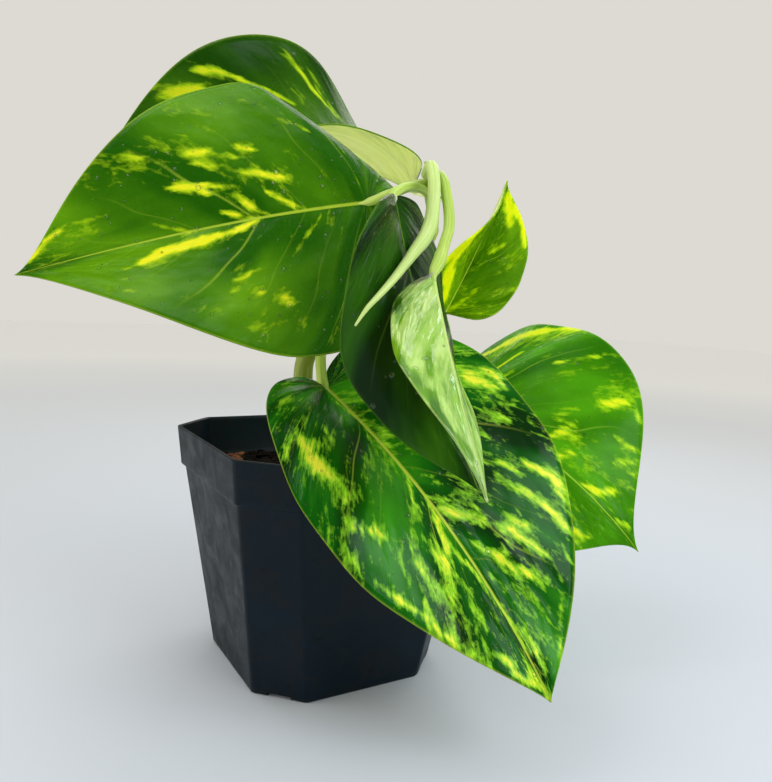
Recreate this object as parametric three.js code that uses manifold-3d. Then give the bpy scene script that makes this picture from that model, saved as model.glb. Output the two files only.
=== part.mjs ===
import * as THREE from 'three';
import { mergeVertices } from 'three/addons/utils/BufferGeometryUtils.js';
import Module from 'manifold-3d';

// A golden pothos in a square nursery pot. Millimetres, +Z up, origin under the middle of the pot on
// the surface that it stands on. The pot's sides lie along X and Y. The plant has a frame of its own,
// turned about Z, in which +X is the plant's right as one faces it and +Y is its back.

const wasm = await Module();
wasm.setup();

// Gap that a piece keeps to what holds it
const SEAT_GAP = 0.3;
const PLANT_TURN = -30.5;

// Pot: half widths across the flats, heights, and the length cut off each side at a corner
const POT = {
  footHalf: 38,
  stepHalf: 48.2,
  bandHalf: 49.6,
  rimHalf: 51,
  height: 89,
  bandHeight: 15.6,
  footCut: 14.9,
  rimCut: 16.5,
  wall: 1.3,
  floor: 1.6,
  cornerRadius: 3,
  drainRadius: 4.2,
  drainOffset: 17,
};

// Soil: its depth below the rim, the height of its crown and of its lumps
const SOIL = { belowRim: 16.5, crown: 2.6, lump: 0.9, rings: [0.93, 0.8, 0.64, 0.47, 0.3, 0.14] };
const CHIPS = { count: 34, longest: 8.5, shortest: 3.5, seed: 7 };

const LEAF_THICKNESS = 0.7;
const MIDRIB_RELIEF = 0.9;
const STEM_SIDES = 10;

const point = (x, y, z) => new THREE.Vector3(x, y, z);
const radians = THREE.MathUtils.degToRad;
const mix = THREE.MathUtils.lerp;

// Repeatable random numbers from 0 to 1
function seededDraw(seed) {
  let state = seed;
  return () => {
    state = (state * 16807) % 2147483647;
    return state / 2147483647;
  };
}

// Solids: from a geometry to a manifold for cutting and joining, and back
function toSolid(geometry) {
  const bare = geometry.clone();
  bare.deleteAttribute('normal');
  bare.deleteAttribute('uv');
  const merged = mergeVertices(bare, 1e-4);
  return new wasm.Manifold(new wasm.Mesh({
    numProp: 3,
    vertProperties: new Float32Array(merged.attributes.position.array),
    triVerts: new Uint32Array(merged.index.array),
  }));
}

function toGeometry(solid) {
  const { vertProperties, triVerts, numProp } = solid.getMesh();
  const positions = new Float32Array((vertProperties.length / numProp) * 3);
  for (let i = 0; i < positions.length / 3; i += 1) {
    positions.set(vertProperties.subarray(i * numProp, i * numProp + 3), i * 3);
  }
  const geometry = new THREE.BufferGeometry();
  geometry.setAttribute('position', new THREE.BufferAttribute(positions, 3));
  geometry.setIndex(new THREE.BufferAttribute(new Uint32Array(triVerts), 1));
  geometry.computeVertexNormals();
  return geometry;
}

// A closed geometry from shared points and triangles, turned inside out if its faces point inward
function closedGeometry(points, triangles) {
  let volume = 0;
  for (const [a, b, c] of triangles) {
    volume += points[a].dot(points[b].clone().cross(points[c]));
  }
  const outward = volume > 0 ? triangles : triangles.map(([a, b, c]) => [a, c, b]);
  const geometry = new THREE.BufferGeometry().setFromPoints(points);
  geometry.setIndex(outward.flat());
  return geometry;
}

// A skin over rings of equal count, closed at both ends by a fan round each end ring's middle
function loft(rings) {
  const count = rings[0].length;
  const points = rings.flat();
  const triangles = [];
  for (let r = 0; r + 1 < rings.length; r += 1) {
    for (let i = 0; i < count; i += 1) {
      const next = (i + 1) % count;
      const [a, b] = [r * count + i, r * count + next];
      triangles.push([a, b, b + count], [a, b + count, a + count]);
    }
  }
  const close = (ring, start, flip) => {
    const middle = points.length;
    points.push(ring.reduce((sum, p) => sum.add(p), point(0, 0, 0)).divideScalar(count));
    for (let i = 0; i < count; i += 1) {
      const [a, b] = [start + i, start + ((i + 1) % count)];
      triangles.push(flip ? [middle, b, a] : [middle, a, b]);
    }
  };
  close(rings[0], 0, true);
  close(rings.at(-1), (rings.length - 1) * count, false);
  return closedGeometry(points, triangles);
}

// A round stem along a smooth path through the given points, with a radius for each of them
function stem(path, radii, { steps = 16, extra = 0, swell = () => 0 } = {}) {
  const [first, second] = path.slice(0, 2).map((p) => point(...p));
  const start = first.clone().add(first.clone().sub(second).setLength(extra + 1e-6));
  const places = [start, ...path.slice(1).map((p) => point(...p))];
  const curve = new THREE.CatmullRomCurve3(places, false, 'centripetal');
  const frames = curve.computeFrenetFrames(steps, false);
  const rings = [];
  for (let s = 0; s <= steps; s += 1) {
    const along = curve.getUtoTmapping(s / steps);
    const slot = Math.min(Math.floor(along * (radii.length - 1)), radii.length - 2);
    const radius = mix(radii[slot], radii[slot + 1], along * (radii.length - 1) - slot);
    const wide = radius + extra + swell(s / steps);
    const middle = curve.getPoint(along);
    rings.push(Array.from({ length: STEM_SIDES }, (_, i) => {
      const angle = (2 * Math.PI * i) / STEM_SIDES;
      return middle.clone()
        .addScaledVector(frames.normals[s], wide * Math.cos(angle))
        .addScaledVector(frames.binormals[s], wide * Math.sin(angle));
    }));
  }
  return loft(rings);
}

// The pot's section at one height: a square with cut corners, each corner rounded by a short arc
function potSection(half, cut, z) {
  const corners = [
    [-half + cut, -half], [half - cut, -half], [half, -half + cut], [half, half - cut],
    [half - cut, half], [-half + cut, half], [-half, half - cut], [-half, -half + cut],
  ].map(([x, y]) => point(x, y, z));
  const back = POT.cornerRadius * Math.tan(Math.PI / 8);
  return corners.flatMap((corner, i) => {
    const toLast = corners.at(i - 1).clone().sub(corner).setLength(back);
    const toNext = corners[(i + 1) % corners.length].clone().sub(corner).setLength(back);
    const inset = toLast.clone().add(toNext).setLength(POT.cornerRadius * (1 / Math.cos(Math.PI / 8) - 1));
    return [corner.clone().add(toLast), corner.clone().add(inset), corner.clone().add(toNext)];
  });
}

const cutAt = (z) => mix(POT.footCut, POT.rimCut, z / POT.height);

function makePot() {
  const bandFoot = POT.height - POT.bandHeight;
  const profile = [
    [POT.footHalf - 0.7, 0],
    [POT.footHalf, 0.7],
    [POT.stepHalf, bandFoot - 0.6],
    [POT.bandHalf, bandFoot],
    [POT.rimHalf, POT.height - 0.4],
    [POT.rimHalf - 0.4, POT.height],
    [POT.rimHalf - POT.wall, POT.height],
    [POT.bandHalf - POT.wall, bandFoot + 0.6],
    [POT.stepHalf - POT.wall, bandFoot - 0.8],
    [POT.footHalf - POT.wall, POT.floor],
  ];
  let solid = toSolid(loft(profile.map(([half, z]) => potSection(half, cutAt(z), z))));
  for (const [sx, sy] of [[1, 1], [-1, 1], [-1, -1], [1, -1]]) {
    const drain = new THREE.CylinderGeometry(POT.drainRadius, POT.drainRadius, 6, 20);
    drain.rotateX(Math.PI / 2);
    drain.translate(sx * POT.drainOffset, sy * POT.drainOffset, 0);
    const notch = new THREE.BoxGeometry(9, 5, 3);
    notch.rotateZ(Math.PI / 4 + (sx * sy > 0 ? Math.PI / 2 : 0));
    const middle = POT.footHalf - POT.footCut / 2;
    notch.translate(sx * middle, sy * middle, 0);
    solid = solid.subtract(toSolid(drain)).subtract(toSolid(notch));
  }
  return toGeometry(solid);
}

// Leaves. A blade is drawn flat, one half at a time, then its lobe is rolled, each half is folded and
// curled about the midrib, and the midrib is bent. Widths and places along the blade are shares of its
// length; angles are degrees. Left is the half on the left as one looks from base to tip at the upper
// face. Fold lifts a half as a flat wing, curl bends it on from the midrib to its edge.
const LEAVES = [
  {
    name: 'leaf_1',
    base: [13.5, -48, 173.5], heading: -186, pitch: -8, roll: -78, length: 117.5,
    droop: -2, droopMore: -12, sweep: 15, twist: 4, wave: 0.1, tip: 0.12,
    left: { width: 0.43, lobe: 0.14, widest: 0.21, fullness: 0.26, fold: [10, 7], curl: [-1, 51] },
    right: {
      width: 0.45, lobe: 0.14, widest: 0.31, fullness: 0.33, fold: [1, 24], curl: [-27, -26],
      rolled: { from: 51, by: -105, within: 0.165 },
    },
    stalk: [
      [33.5, -38.5, 180.5], [31.5, -39.8, 181.6], [28.8, -42, 180.6], [25.6, -44.5, 179.2],
      [22.1, -47.2, 177.3], [18.4, -48.8, 175.5],
    ],
    stalkRadius: 1.6,
  },
  {
    name: 'leaf_2',
    base: [29, 15, 188], heading: 180.5, pitch: 21.9, roll: -14, length: 129,
    droop: 22, droopMore: 16, sweep: -4, twist: -2, wave: 0.45, tip: 0.06,
    left: { width: 0.25, lobe: 0, widest: 0.33, fullness: 0.44, fold: [34, -42], curl: [0, 10] },
    right: { width: 0.42, lobe: 0.12, widest: 0.41, fullness: 0.19, fold: [7, 74], curl: [-35, 67] },
    stalk: [[33.8, -37, 176], [36, -28, 182.5], [36, -10, 187], [33.5, 6, 187.8]],
    stalkRadius: 1.5,
  },
  {
    name: 'leaf_3',
    base: [21.5, -61.5, 174], heading: -44, pitch: -72, roll: -17.5, length: 92.5,
    droop: -13, droopMore: -2, sweep: -7, twist: 39, wave: 0.7, tip: 0.09,
    left: { width: 0.27, lobe: 0.01, widest: 0.3, fullness: 0.42, fold: [14, -26], curl: [-33, -46] },
    right: { width: 0.3, lobe: -0.07, widest: 0.4, fullness: 0.32, fold: [21, -32], curl: [-14, -63] },
    stalk: [
      [34, -37.5, 173], [33, -42, 176.9], [30.8, -45.5, 178.6], [27.7, -49, 178.9],
      [24.7, -53.5, 177.9], [22.8, -57.5, 176.3],
    ],
    stalkRadius: 1.4,
  },
  {
    name: 'leaf_4',
    base: [34, -81, 150.5], heading: -74.5, pitch: -55, roll: 18.5, length: 67,
    droop: 4, droopMore: 0, sweep: 6, twist: -13, wave: 0.3, tip: 0.2,
    left: { width: 0.2, lobe: 0.04, widest: 0.27, fullness: 0.44, fold: [-90, -48], curl: [0, 0] },
    right: { width: 0.22, lobe: -0.03, widest: 0.29, fullness: 0.42, fold: [1, 39], curl: [-42, 29] },
    stalk: [
      [34.2, -41, 181.5], [35.5, -46, 183.2], [37, -51, 180.5], [38, -54.5, 175.5], [38.7, -58, 170],
      [38.6, -62, 165], [37, -68, 159.5], [35.4, -75, 154.3],
    ],
    stalkRadius: 1.7,
  },
  {
    name: 'leaf_6',
    base: [44, 5.5, 139], heading: 41, pitch: 56.5, roll: 38.5, length: 59,
    droop: -23, droopMore: -9, sweep: 0, twist: 35, wave: 0.9, tip: 0.11,
    left: { width: 0.34, lobe: 0.07, widest: 0.28, fullness: 0.41, fold: [63, 80], curl: [0, 0] },
    right: { width: 0.37, lobe: 0, widest: 0.33, fullness: 0.49, fold: [21, 16], curl: [0, 0] },
    stalk: [[19, 10, 56], [20, 10.5, 76], [27, 12, 96], [39, 12, 115], [45.5, 9, 129]],
    stalkRadius: 1.4,
  },
  {
    name: 'leaf_7',
    base: [53.5, 43.5, 98.5], heading: -61, pitch: -3, roll: 36.5, length: 108,
    droop: 53, droopMore: 20, sweep: 2, twist: 13, wave: 0.25, tip: 0.16,
    left: { width: 0.55, lobe: 0.17, widest: 0.34, fullness: 0.39, fold: [8, -22], curl: [-5, 14] },
    right: { width: 0.4, lobe: 0.13, widest: 0.37, fullness: 0.51, fold: [-10, 3], curl: [-32, 2] },
    stalk: [[13, 24, 56], [15, 25, 76], [22, 30, 95], [35, 38, 106], [47, 43.5, 104]],
    stalkRadius: 1.7,
  },
  {
    name: 'leaf_8',
    base: [1, -37, 111.5], heading: -26.5, pitch: -34, roll: 9, length: 123,
    droop: 19, droopMore: 1, sweep: -10, twist: 30, wave: 0.6, tip: 0.06,
    left: { width: 0.43, lobe: 0.07, widest: 0.32, fullness: 0.36, fold: [29, 10], curl: [2, -8] },
    right: { width: 0.35, lobe: 0.04, widest: 0.33, fullness: 0.34, fold: [28, 17], curl: [-61, -34] },
    stalk: [[2, -17, 132], [0, -22, 131], [-1.5, -29.5, 125], [-0.8, -35, 117]],
    stalkRadius: 1.9,
  },
];

// Waves along a blade's edge: their height, and how many there are in its length
const WAVE = { height: 0.8, count: 3.2 };

// Grid of a half: steps along the edge and along a vein. Veins of the first share of the edge all
// start at the base; the others start along the midrib, closer together near the base.
const GRID = { edge: 20, vein: 5, fan: 0.62, crowd: 1.6 };

function halfOutline(side, tip) {
  const { width: w, lobe, widest, fullness } = side;
  const stretch = (...ends) => new THREE.CubicBezierCurve(...ends.map(([x, y]) => new THREE.Vector2(x, y)));
  return [
    stretch([0, 0], [-0.62 * lobe, 0.057 * w], [-lobe, 0.22 * w], [-lobe, 0.52 * w]),
    stretch([-lobe, 0.52 * w], [-lobe, 0.86 * w], [widest - 0.2, w], [widest, w]),
    stretch([widest, w], [widest + fullness, w], [1 - tip, 0.03], [1, 0]),
  ];
}

// A flat point: edge runs from the notch at the base to the tip, vein from the midrib to the edge
function flatPoint(outline, edge, vein) {
  const piece = Math.min(Math.floor(edge * 3), 2);
  const rim = outline[piece].getPoint(edge * 3 - piece);
  const start = edge > GRID.fan ? ((edge - GRID.fan) / (1 - GRID.fan)) ** GRID.crowd : 0;
  const middle = new THREE.Vector2(start + 0.3 * (rim.x - start), 0.6 * rim.y);
  return new THREE.QuadraticBezierCurve(new THREE.Vector2(start, 0), middle, rim).getPoint(vein);
}

// Along and across distances of an arc of length s that starts at an angle and bends evenly
function arcOffset(s, angle, bend) {
  const k = Math.abs(bend) < 1e-6 ? 1e-6 : bend;
  return [
    (Math.sin(angle + k * s) - Math.sin(angle)) / k,
    (Math.cos(angle) - Math.cos(angle + k * s)) / k,
  ];
}

function midribFrame(leaf, u) {
  const pitch = radians(leaf.droop * u + leaf.droopMore * u * Math.abs(u));
  return new THREE.Euler(radians(leaf.twist * u), pitch, radians(leaf.sweep * u), 'ZYX');
}

// Midrib from behind the base to the tip, as a table of points one eightieth of the length apart
function midribTable(leaf) {
  const [steps, behind] = [80, 32];
  const heading = (i) => point(1, 0, 0).applyEuler(midribFrame(leaf, i / steps));
  const walk = (direction, count) => {
    const places = [point(0, 0, 0)];
    for (let i = 0; i < count; i += 1) {
      const ahead = heading(direction * i).add(heading(direction * (i + 1)));
      places.push(places.at(-1).clone().addScaledVector(ahead, (direction * leaf.length) / steps / 2));
    }
    return places;
  };
  const places = [...walk(-1, behind).reverse().slice(0, -1), ...walk(1, steps)];
  return (u) => {
    const slot = THREE.MathUtils.clamp(u * steps + behind, 0, places.length - 1.001);
    const i = Math.floor(slot);
    return places[i].clone().lerp(places[i + 1], slot - i);
  };
}

function bladeShaper(leaf) {
  const midrib = midribTable(leaf);
  const placement = new THREE.Euler(radians(leaf.roll), radians(-leaf.pitch), radians(leaf.heading), 'ZYX');
  const base = point(...leaf.base);
  return (flat, sideName) => {
    const side = leaf[sideName];
    const hand = sideName === 'left' ? 1 : -1;
    let [x, y, lift] = [flat.x, flat.y, 0];
    if (side.rolled) {
      const crease = radians(side.rolled.from);
      const past = Math.max(y * Math.cos(crease) - x * Math.sin(crease), 0);
      const turn = radians(side.rolled.by);
      const bent = Math.min(past, side.rolled.within);
      let [along, up] = arcOffset(bent, 0, turn / side.rolled.within);
      along += (past - bent) * Math.cos(turn);
      up += (past - bent) * Math.sin(turn);
      x -= (along - past) * Math.sin(crease);
      y += (along - past) * Math.cos(crease);
      lift = up;
    }
    const blend = THREE.MathUtils.smoothstep(x, 0, 1);
    const fold = radians(mix(side.fold[0], side.fold[1], blend));
    const curl = radians(mix(side.curl[0], side.curl[1], blend)) / side.width;
    const [across, up] = arcOffset(y, fold, curl);
    const lean = fold + curl * y;
    const phase = WAVE.count * x + leaf.wave + (hand > 0 ? 0 : 0.35);
    const fade = THREE.MathUtils.clamp((1 - x) * 4, 0, 1) * (flat.y / side.width) ** 2;
    const wave = WAVE.height * fade * Math.sin(2 * Math.PI * phase);
    const local = point(
      0,
      hand * (across - lift * Math.sin(lean)) * leaf.length,
      (up + lift * Math.cos(lean)) * leaf.length + wave,
    );
    return local.applyEuler(midribFrame(leaf, x)).add(midrib(x)).applyEuler(placement).add(base);
  };
}

// Blade: the same triangles on both faces, the lower face thicker under the midrib, closed at the edge
function bladeGeometry(leaf) {
  const place = bladeShaper(leaf);
  const surface = [];
  const relief = [];
  const keys = new Map();
  const add = (edge, vein, sideName, outline) => {
    const flat = flatPoint(outline, edge, vein);
    const key = flat.y < 1e-9 ? `midrib ${flat.x.toFixed(6)}` : `${sideName} ${edge} ${vein}`;
    if (!keys.has(key)) {
      keys.set(key, surface.length);
      surface.push(place(flat, sideName));
      relief.push(flat.y < 1e-9 ? MIDRIB_RELIEF * (1 - flat.x) : 0);
    }
    return keys.get(key);
  };
  const faces = [];
  for (const sideName of ['left', 'right']) {
    const outline = halfOutline(leaf[sideName], leaf.tip);
    const grid = Array.from({ length: GRID.edge + 1 }, (_, i) => (
      Array.from({ length: GRID.vein + 1 }, (__, j) => (
        add(i / GRID.edge, j / GRID.vein, sideName, outline)))));
    for (let i = 0; i < GRID.edge; i += 1) {
      for (let j = 0; j < GRID.vein; j += 1) {
        const [a, b, c, d] = [grid[i][j], grid[i + 1][j], grid[i + 1][j + 1], grid[i][j + 1]];
        for (const face of [[a, b, c], [a, c, d]]) {
          if (new Set(face).size === 3) faces.push(sideName === 'left' ? face : face.toReversed());
        }
      }
    }
  }
  return thicken(surface, faces, relief);
}

function thicken(surface, faces, relief) {
  const normals = surface.map(() => point(0, 0, 0));
  const edges = new Map();
  for (const [a, b, c] of faces) {
    const normal = surface[b].clone().sub(surface[a]).cross(surface[c].clone().sub(surface[a]));
    for (const i of [a, b, c]) normals[i].add(normal);
    for (const [from, to] of [[a, b], [b, c], [c, a]]) {
      if (edges.has(`${to} ${from}`)) edges.delete(`${to} ${from}`);
      else edges.set(`${from} ${to}`, [from, to]);
    }
  }
  normals.forEach((normal) => normal.normalize());
  const count = surface.length;
  const upper = surface.map((p, i) => p.clone().addScaledVector(normals[i], LEAF_THICKNESS / 2));
  const lower = surface.map((p, i) => (
    p.clone().addScaledVector(normals[i], -LEAF_THICKNESS / 2 - relief[i])));
  const triangles = [
    ...faces,
    ...faces.map(([a, b, c]) => [a + count, c + count, b + count]),
    ...[...edges.values()].flatMap(([a, b]) => [[b, a, a + count], [b, a + count, b + count]]),
  ];
  return closedGeometry([...upper, ...lower], triangles);
}

// A leaf's stalk runs from the vine or the soil into the underside of the midrib
function stalkGeometry(leaf, extra = 0) {
  const shape = bladeShaper(leaf);
  const into = [0, 0.035].map((x) => {
    const place = shape(new THREE.Vector2(x, 0), 'left');
    const ahead = shape(new THREE.Vector2(x + 0.01, 0), 'left').sub(place);
    const across = shape(new THREE.Vector2(x, 0.01), 'left').sub(shape(new THREE.Vector2(x, 0.01), 'right'));
    return place.addScaledVector(ahead.cross(across).normalize(), -0.6).toArray();
  });
  const path = [...leaf.stalk, ...into];
  const radii = path.map((_, i) => (i < path.length - 2 ? leaf.stalkRadius : leaf.stalkRadius * 0.8));
  radii[radii.length - 1] = 0.5;
  return stem(path, radii, { steps: 18, extra });
}

// Main vine, thick at the foot, with a swelling where each stalk leaves it
const VINE = {
  path: [
    [-12, 3, 50], [-12, 1, 76], [-10.5, -4, 104], [-9, -8, 120], [1, -16, 132],
    [18, -26, 146], [30, -32, 156], [34.5, -36, 168], [33.8, -40, 179], [31.2, -44, 187.8],
  ],
  radii: [4, 4, 3.9, 3.7, 3.3, 2.9, 2.6, 2.4, 2.1, 0.5],
  nodes: [0.2, 0.52, 0.76, 0.86, 0.93],
};

function vineGeometry(extra = 0) {
  const ring = (distance) => 0.45 * Math.exp(-((distance / 0.018) ** 2));
  const swell = (along) => VINE.nodes.reduce((sum, node) => sum + ring(along - node), 0);
  return stem(VINE.path, VINE.radii, { steps: 40, extra, swell });
}

// The next leaf, still rolled into a spear, on a stalk that hangs from the top of the vine
const SPEAR = {
  path: [
    [31.8, -43, 184], [32.8, -50, 185.2], [33.6, -54.5, 181], [33.8, -57, 176.5], [33.6, -59, 171],
    [33, -61, 166], [31.4, -64, 161.8], [28.4, -69, 157.3], [25.5, -76.5, 152.8], [22.4, -82.5, 148.3],
    [19, -86.5, 144], [15.7, -89, 140], [12.8, -90.5, 135.3],
  ],
  radii: [1.9, 1.95, 1.95, 2, 2.1, 2.35, 2.2, 1.75, 1.4, 1.2, 0.95, 0.7, 0.3],
};

// Soil with bark chips, their places and turns drawn at random
function makeSoil(holes) {
  const inside = (half) => half - POT.wall - SEAT_GAP;
  const edge = POT.height - SOIL.belowRim;
  const draw = seededDraw(CHIPS.seed);
  const lift = (share) => edge + SOIL.crown * (1 - share * share) + SOIL.lump * (2 * draw() - 1);
  const top = potSection(inside(POT.stepHalf) - 0.1, cutAt(edge), edge);
  const rings = [
    potSection(inside(POT.footHalf), cutAt(0), POT.floor + SEAT_GAP),
    top,
    ...SOIL.rings.map((share) => top.map((p) => point(p.x * share, p.y * share, lift(share)))),
  ];
  let solid = toSolid(loft(rings));
  const reach = POT.stepHalf - 9;
  for (let i = 0; i < CHIPS.count; i += 1) {
    const [x, y] = [reach * (2 * draw() - 1), reach * (2 * draw() - 1)];
    const length = mix(CHIPS.shortest, CHIPS.longest, draw());
    const chip = new THREE.BoxGeometry(length, length * mix(0.4, 0.7, draw()), length * 0.3);
    chip.rotateX(0.5 * (draw() - 0.5));
    chip.rotateY(0.5 * (draw() - 0.5));
    chip.rotateZ(2 * Math.PI * draw());
    const share = Math.max(Math.abs(x), Math.abs(y)) / POT.stepHalf;
    chip.translate(x, y, edge + SOIL.crown * (1 - share * share));
    if (Math.abs(x) + Math.abs(y) < 1.45 * reach) solid = solid.add(toSolid(chip));
  }
  for (const hole of holes) solid = solid.subtract(toSolid(hole));
  return toGeometry(solid);
}

// Assembly
const material = (color, roughness) => (
  new THREE.MeshStandardMaterial({ color, roughness, metalness: 0 }));

function named(name, geometry, look) {
  const mesh = new THREE.Mesh(geometry, look);
  mesh.name = name;
  return mesh;
}

const looks = {
  pot: material('#1b1d20', 0.45),
  soil: material('#2a211b', 0.95),
  vine: material('#a9b64a', 0.5),
  spear: material('#c9dd85', 0.4),
  leaf: material('#4f9a1e', 0.35),
  youngLeaf: material('#b7d65c', 0.25),
};

const turned = (geometry) => geometry.rotateZ(radians(PLANT_TURN));
const rooted = LEAVES.filter((leaf) => leaf.stalk[0][2] < POT.height - SOIL.belowRim);
const potMesh = named('pot', makePot(), looks.pot);
const soilMesh = named('soil', makeSoil([
  turned(vineGeometry(SEAT_GAP)),
  ...rooted.map((leaf) => turned(stalkGeometry(leaf, SEAT_GAP))),
]), looks.soil);

const plant = new THREE.Group();
plant.rotation.z = radians(PLANT_TURN);
plant.add(named('vine', toGeometry(toSolid(vineGeometry())), looks.vine));
const vineClearance = toSolid(vineGeometry(SEAT_GAP));
const rolledLeaf = (extra) => toSolid(stem(SPEAR.path, SPEAR.radii, { steps: 30, extra }));
const spear = rolledLeaf(0).subtract(vineClearance);
const spearClearance = rolledLeaf(SEAT_GAP);
plant.add(named('leaf_5_rolled', toGeometry(spear), looks.spear));
for (const leaf of LEAVES) {
  const grown = toSolid(bladeGeometry(leaf)).add(toSolid(stalkGeometry(leaf)));
  const whole = grown.subtract(vineClearance).subtract(spearClearance);
  plant.add(named(leaf.name, toGeometry(whole), leaf.name === 'leaf_4' ? looks.youngLeaf : looks.leaf));
}

const pottedPothos = new THREE.Group();
pottedPothos.add(potMesh, soilMesh, plant);

export default pottedPothos;
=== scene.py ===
import math
import random

import bmesh
import bpy
import numpy as np
from mathutils import Matrix, Vector, noise


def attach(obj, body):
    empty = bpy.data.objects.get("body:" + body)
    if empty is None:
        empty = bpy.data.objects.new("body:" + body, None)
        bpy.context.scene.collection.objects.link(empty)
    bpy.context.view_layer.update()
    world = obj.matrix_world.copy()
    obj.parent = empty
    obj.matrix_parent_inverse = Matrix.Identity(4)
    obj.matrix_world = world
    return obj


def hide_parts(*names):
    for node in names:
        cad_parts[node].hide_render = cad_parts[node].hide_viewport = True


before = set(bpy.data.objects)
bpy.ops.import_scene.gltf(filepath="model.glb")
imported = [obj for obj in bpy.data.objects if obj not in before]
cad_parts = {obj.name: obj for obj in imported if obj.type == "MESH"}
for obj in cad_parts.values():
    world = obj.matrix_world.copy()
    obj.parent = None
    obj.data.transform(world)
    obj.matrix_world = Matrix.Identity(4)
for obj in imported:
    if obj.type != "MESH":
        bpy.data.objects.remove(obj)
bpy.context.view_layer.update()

MM = 0.001

# The plant grew turned to one side of the square pot. Its own frame has +X to the right of the side
# that faces the viewer and +Y behind, and this turn about the upright carries it into the pot's frame.
PLANT_TURN = math.radians(-30.5)
turn_to_pot = np.array([
    [math.cos(PLANT_TURN), -math.sin(PLANT_TURN), 0],
    [math.sin(PLANT_TURN), math.cos(PLANT_TURN), 0],
    [0, 0, 1],
])


# Camera, light, room and floor. A camera a little above the rim looks slightly down on a pale floor. A
# cool soft lamp, like a window, stands at the front right. Weaker ones shine from above and behind,
# and a faint warm one fills from the left.
LENS = {
    "focal_px": 743, "width_px": 772, "sensor_mm": 36, "clip_m": (0.01, 20),
    "pitch": 6.8, "roll": 2.8, "place": (22, -291.5, 142),
}
LAMPS = [
    ("window_lamp", (390, -330, 400), 300, 1.7, (0.88, 0.95, 1.0)),
    ("top_lamp", (-210, -60, 620), 320, 0.8, (1.0, 0.99, 0.96)),
    ("back_lamp", (120, 420, 480), 420, 0.7, (1.0, 0.98, 0.92)),
    ("fill_lamp", (-430, -170, 130), 300, 0.5, (1.0, 0.78, 0.52)),
]
LAMP_AIM_M = (0, 0, 0.11)
ROOM = {
    "walls": (0.72, 0.70, 0.648, 1), "lit": (0.8, 0.8, 0.78, 1), "mirrored": (1.0, 0.96, 0.88, 1),
    "bright_side": (0.2, 0.75, 0.63), "facing": (-0.7, 0.9), "strength": (0.08, 0.5),
}
FLOOR = {"half_m": 3, "fade_m": (0.2, 1.4), "near": "c6ccd4", "far": "f6f4ee"}


def camera_axes(pitch, roll):
    forward = np.array([0, math.cos(pitch), -math.sin(pitch)])
    level, upright = np.array([1, 0, 0]), np.array([0, math.sin(pitch), math.cos(pitch)])
    right = math.cos(roll) * level + math.sin(roll) * upright
    up = math.cos(roll) * upright - math.sin(roll) * level
    return right, up, -forward


lens = bpy.data.cameras.new("camera")
lens.sensor_fit = "HORIZONTAL"
lens.sensor_width = LENS["sensor_mm"]
lens.lens = LENS["sensor_mm"] * LENS["focal_px"] / LENS["width_px"]
lens.clip_start, lens.clip_end = LENS["clip_m"]
camera = bpy.data.objects.new("camera", lens)
axes = np.array(camera_axes(math.radians(LENS["pitch"]), math.radians(LENS["roll"])))
stand = Matrix.Translation(Vector(turn_to_pot @ np.array(LENS["place"]) * MM))
camera.matrix_world = stand @ Matrix((turn_to_pot @ axes.T).tolist()).to_4x4()
bpy.context.scene.collection.objects.link(camera)
bpy.context.scene.camera = camera

for name, place, size, watts, colour in LAMPS:
    lamp = bpy.data.lights.new(name, "AREA")
    lamp.size = size * MM
    lamp.energy = watts
    lamp.color = colour
    holder = bpy.data.objects.new(name, lamp)
    holder.location = turn_to_pot @ np.array(place) * MM
    aim = Vector(LAMP_AIM_M) - holder.location
    holder.rotation_euler = aim.to_track_quat("-Z", "Y").to_euler()
    bpy.context.scene.collection.objects.link(holder)

bpy.context.scene.view_settings.view_transform = "Standard"


def tint(hex_code):
    """Linear colour of a paint given as six hex digits."""
    parts = [int(hex_code[i:i + 2], 16) / 255 for i in (0, 2, 4)]
    return tuple(p / 12.92 if p < 0.04045 else ((p + 0.055) / 1.055) ** 2.4 for p in parts) + (1.0,)


def wire(tree, kind, inputs=None, **settings):
    """Adds a shader node. Each input is a number, a colour or another node's output."""
    node = tree.nodes.new("ShaderNode" + kind)
    for key, value in settings.items():
        setattr(node, key, value)
    for key, value in (inputs or {}).items():
        if isinstance(value, bpy.types.NodeSocket):
            tree.links.new(value, node.inputs[key])
        else:
            node.inputs[key].default_value = value
    return node


# The walls light the plant softly from all round. Gloss mirrors a dimmer room than that, brighter
# behind the plant than in front, so that dark leaves and black plastic stay deep.
world = bpy.data.worlds.new("studio")
world.use_nodes = True
room = world.node_tree
walls = room.nodes["Background"]
walls.inputs["Color"].default_value = ROOM["walls"]
facing = wire(room, "VectorMath", {
    0: wire(room, "TexCoord").outputs["Generated"],
    1: tuple(turn_to_pot @ np.array(ROOM["bright_side"]))}, operation="DOT_PRODUCT").outputs["Value"]
glow = wire(room, "MapRange", {
    "Value": facing, "From Min": ROOM["facing"][0], "From Max": ROOM["facing"][1],
    "To Min": ROOM["strength"][0], "To Max": ROOM["strength"][1]}).outputs[0]
mirrored = wire(room, "Background", {"Color": ROOM["mirrored"], "Strength": glow}).outputs[0]
lit = wire(room, "Background", {"Color": ROOM["lit"], "Strength": 1.0}).outputs[0]
rays = wire(room, "LightPath").outputs
light = wire(room, "MixShader", {0: rays["Is Glossy Ray"], 1: lit, 2: mirrored}).outputs[0]
both = wire(room, "MixShader", {0: rays["Is Camera Ray"], 1: light, 2: walls.outputs[0]}).outputs[0]
room.links.new(both, room.nodes["World Output"].inputs["Surface"])
bpy.context.scene.world = world

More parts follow.
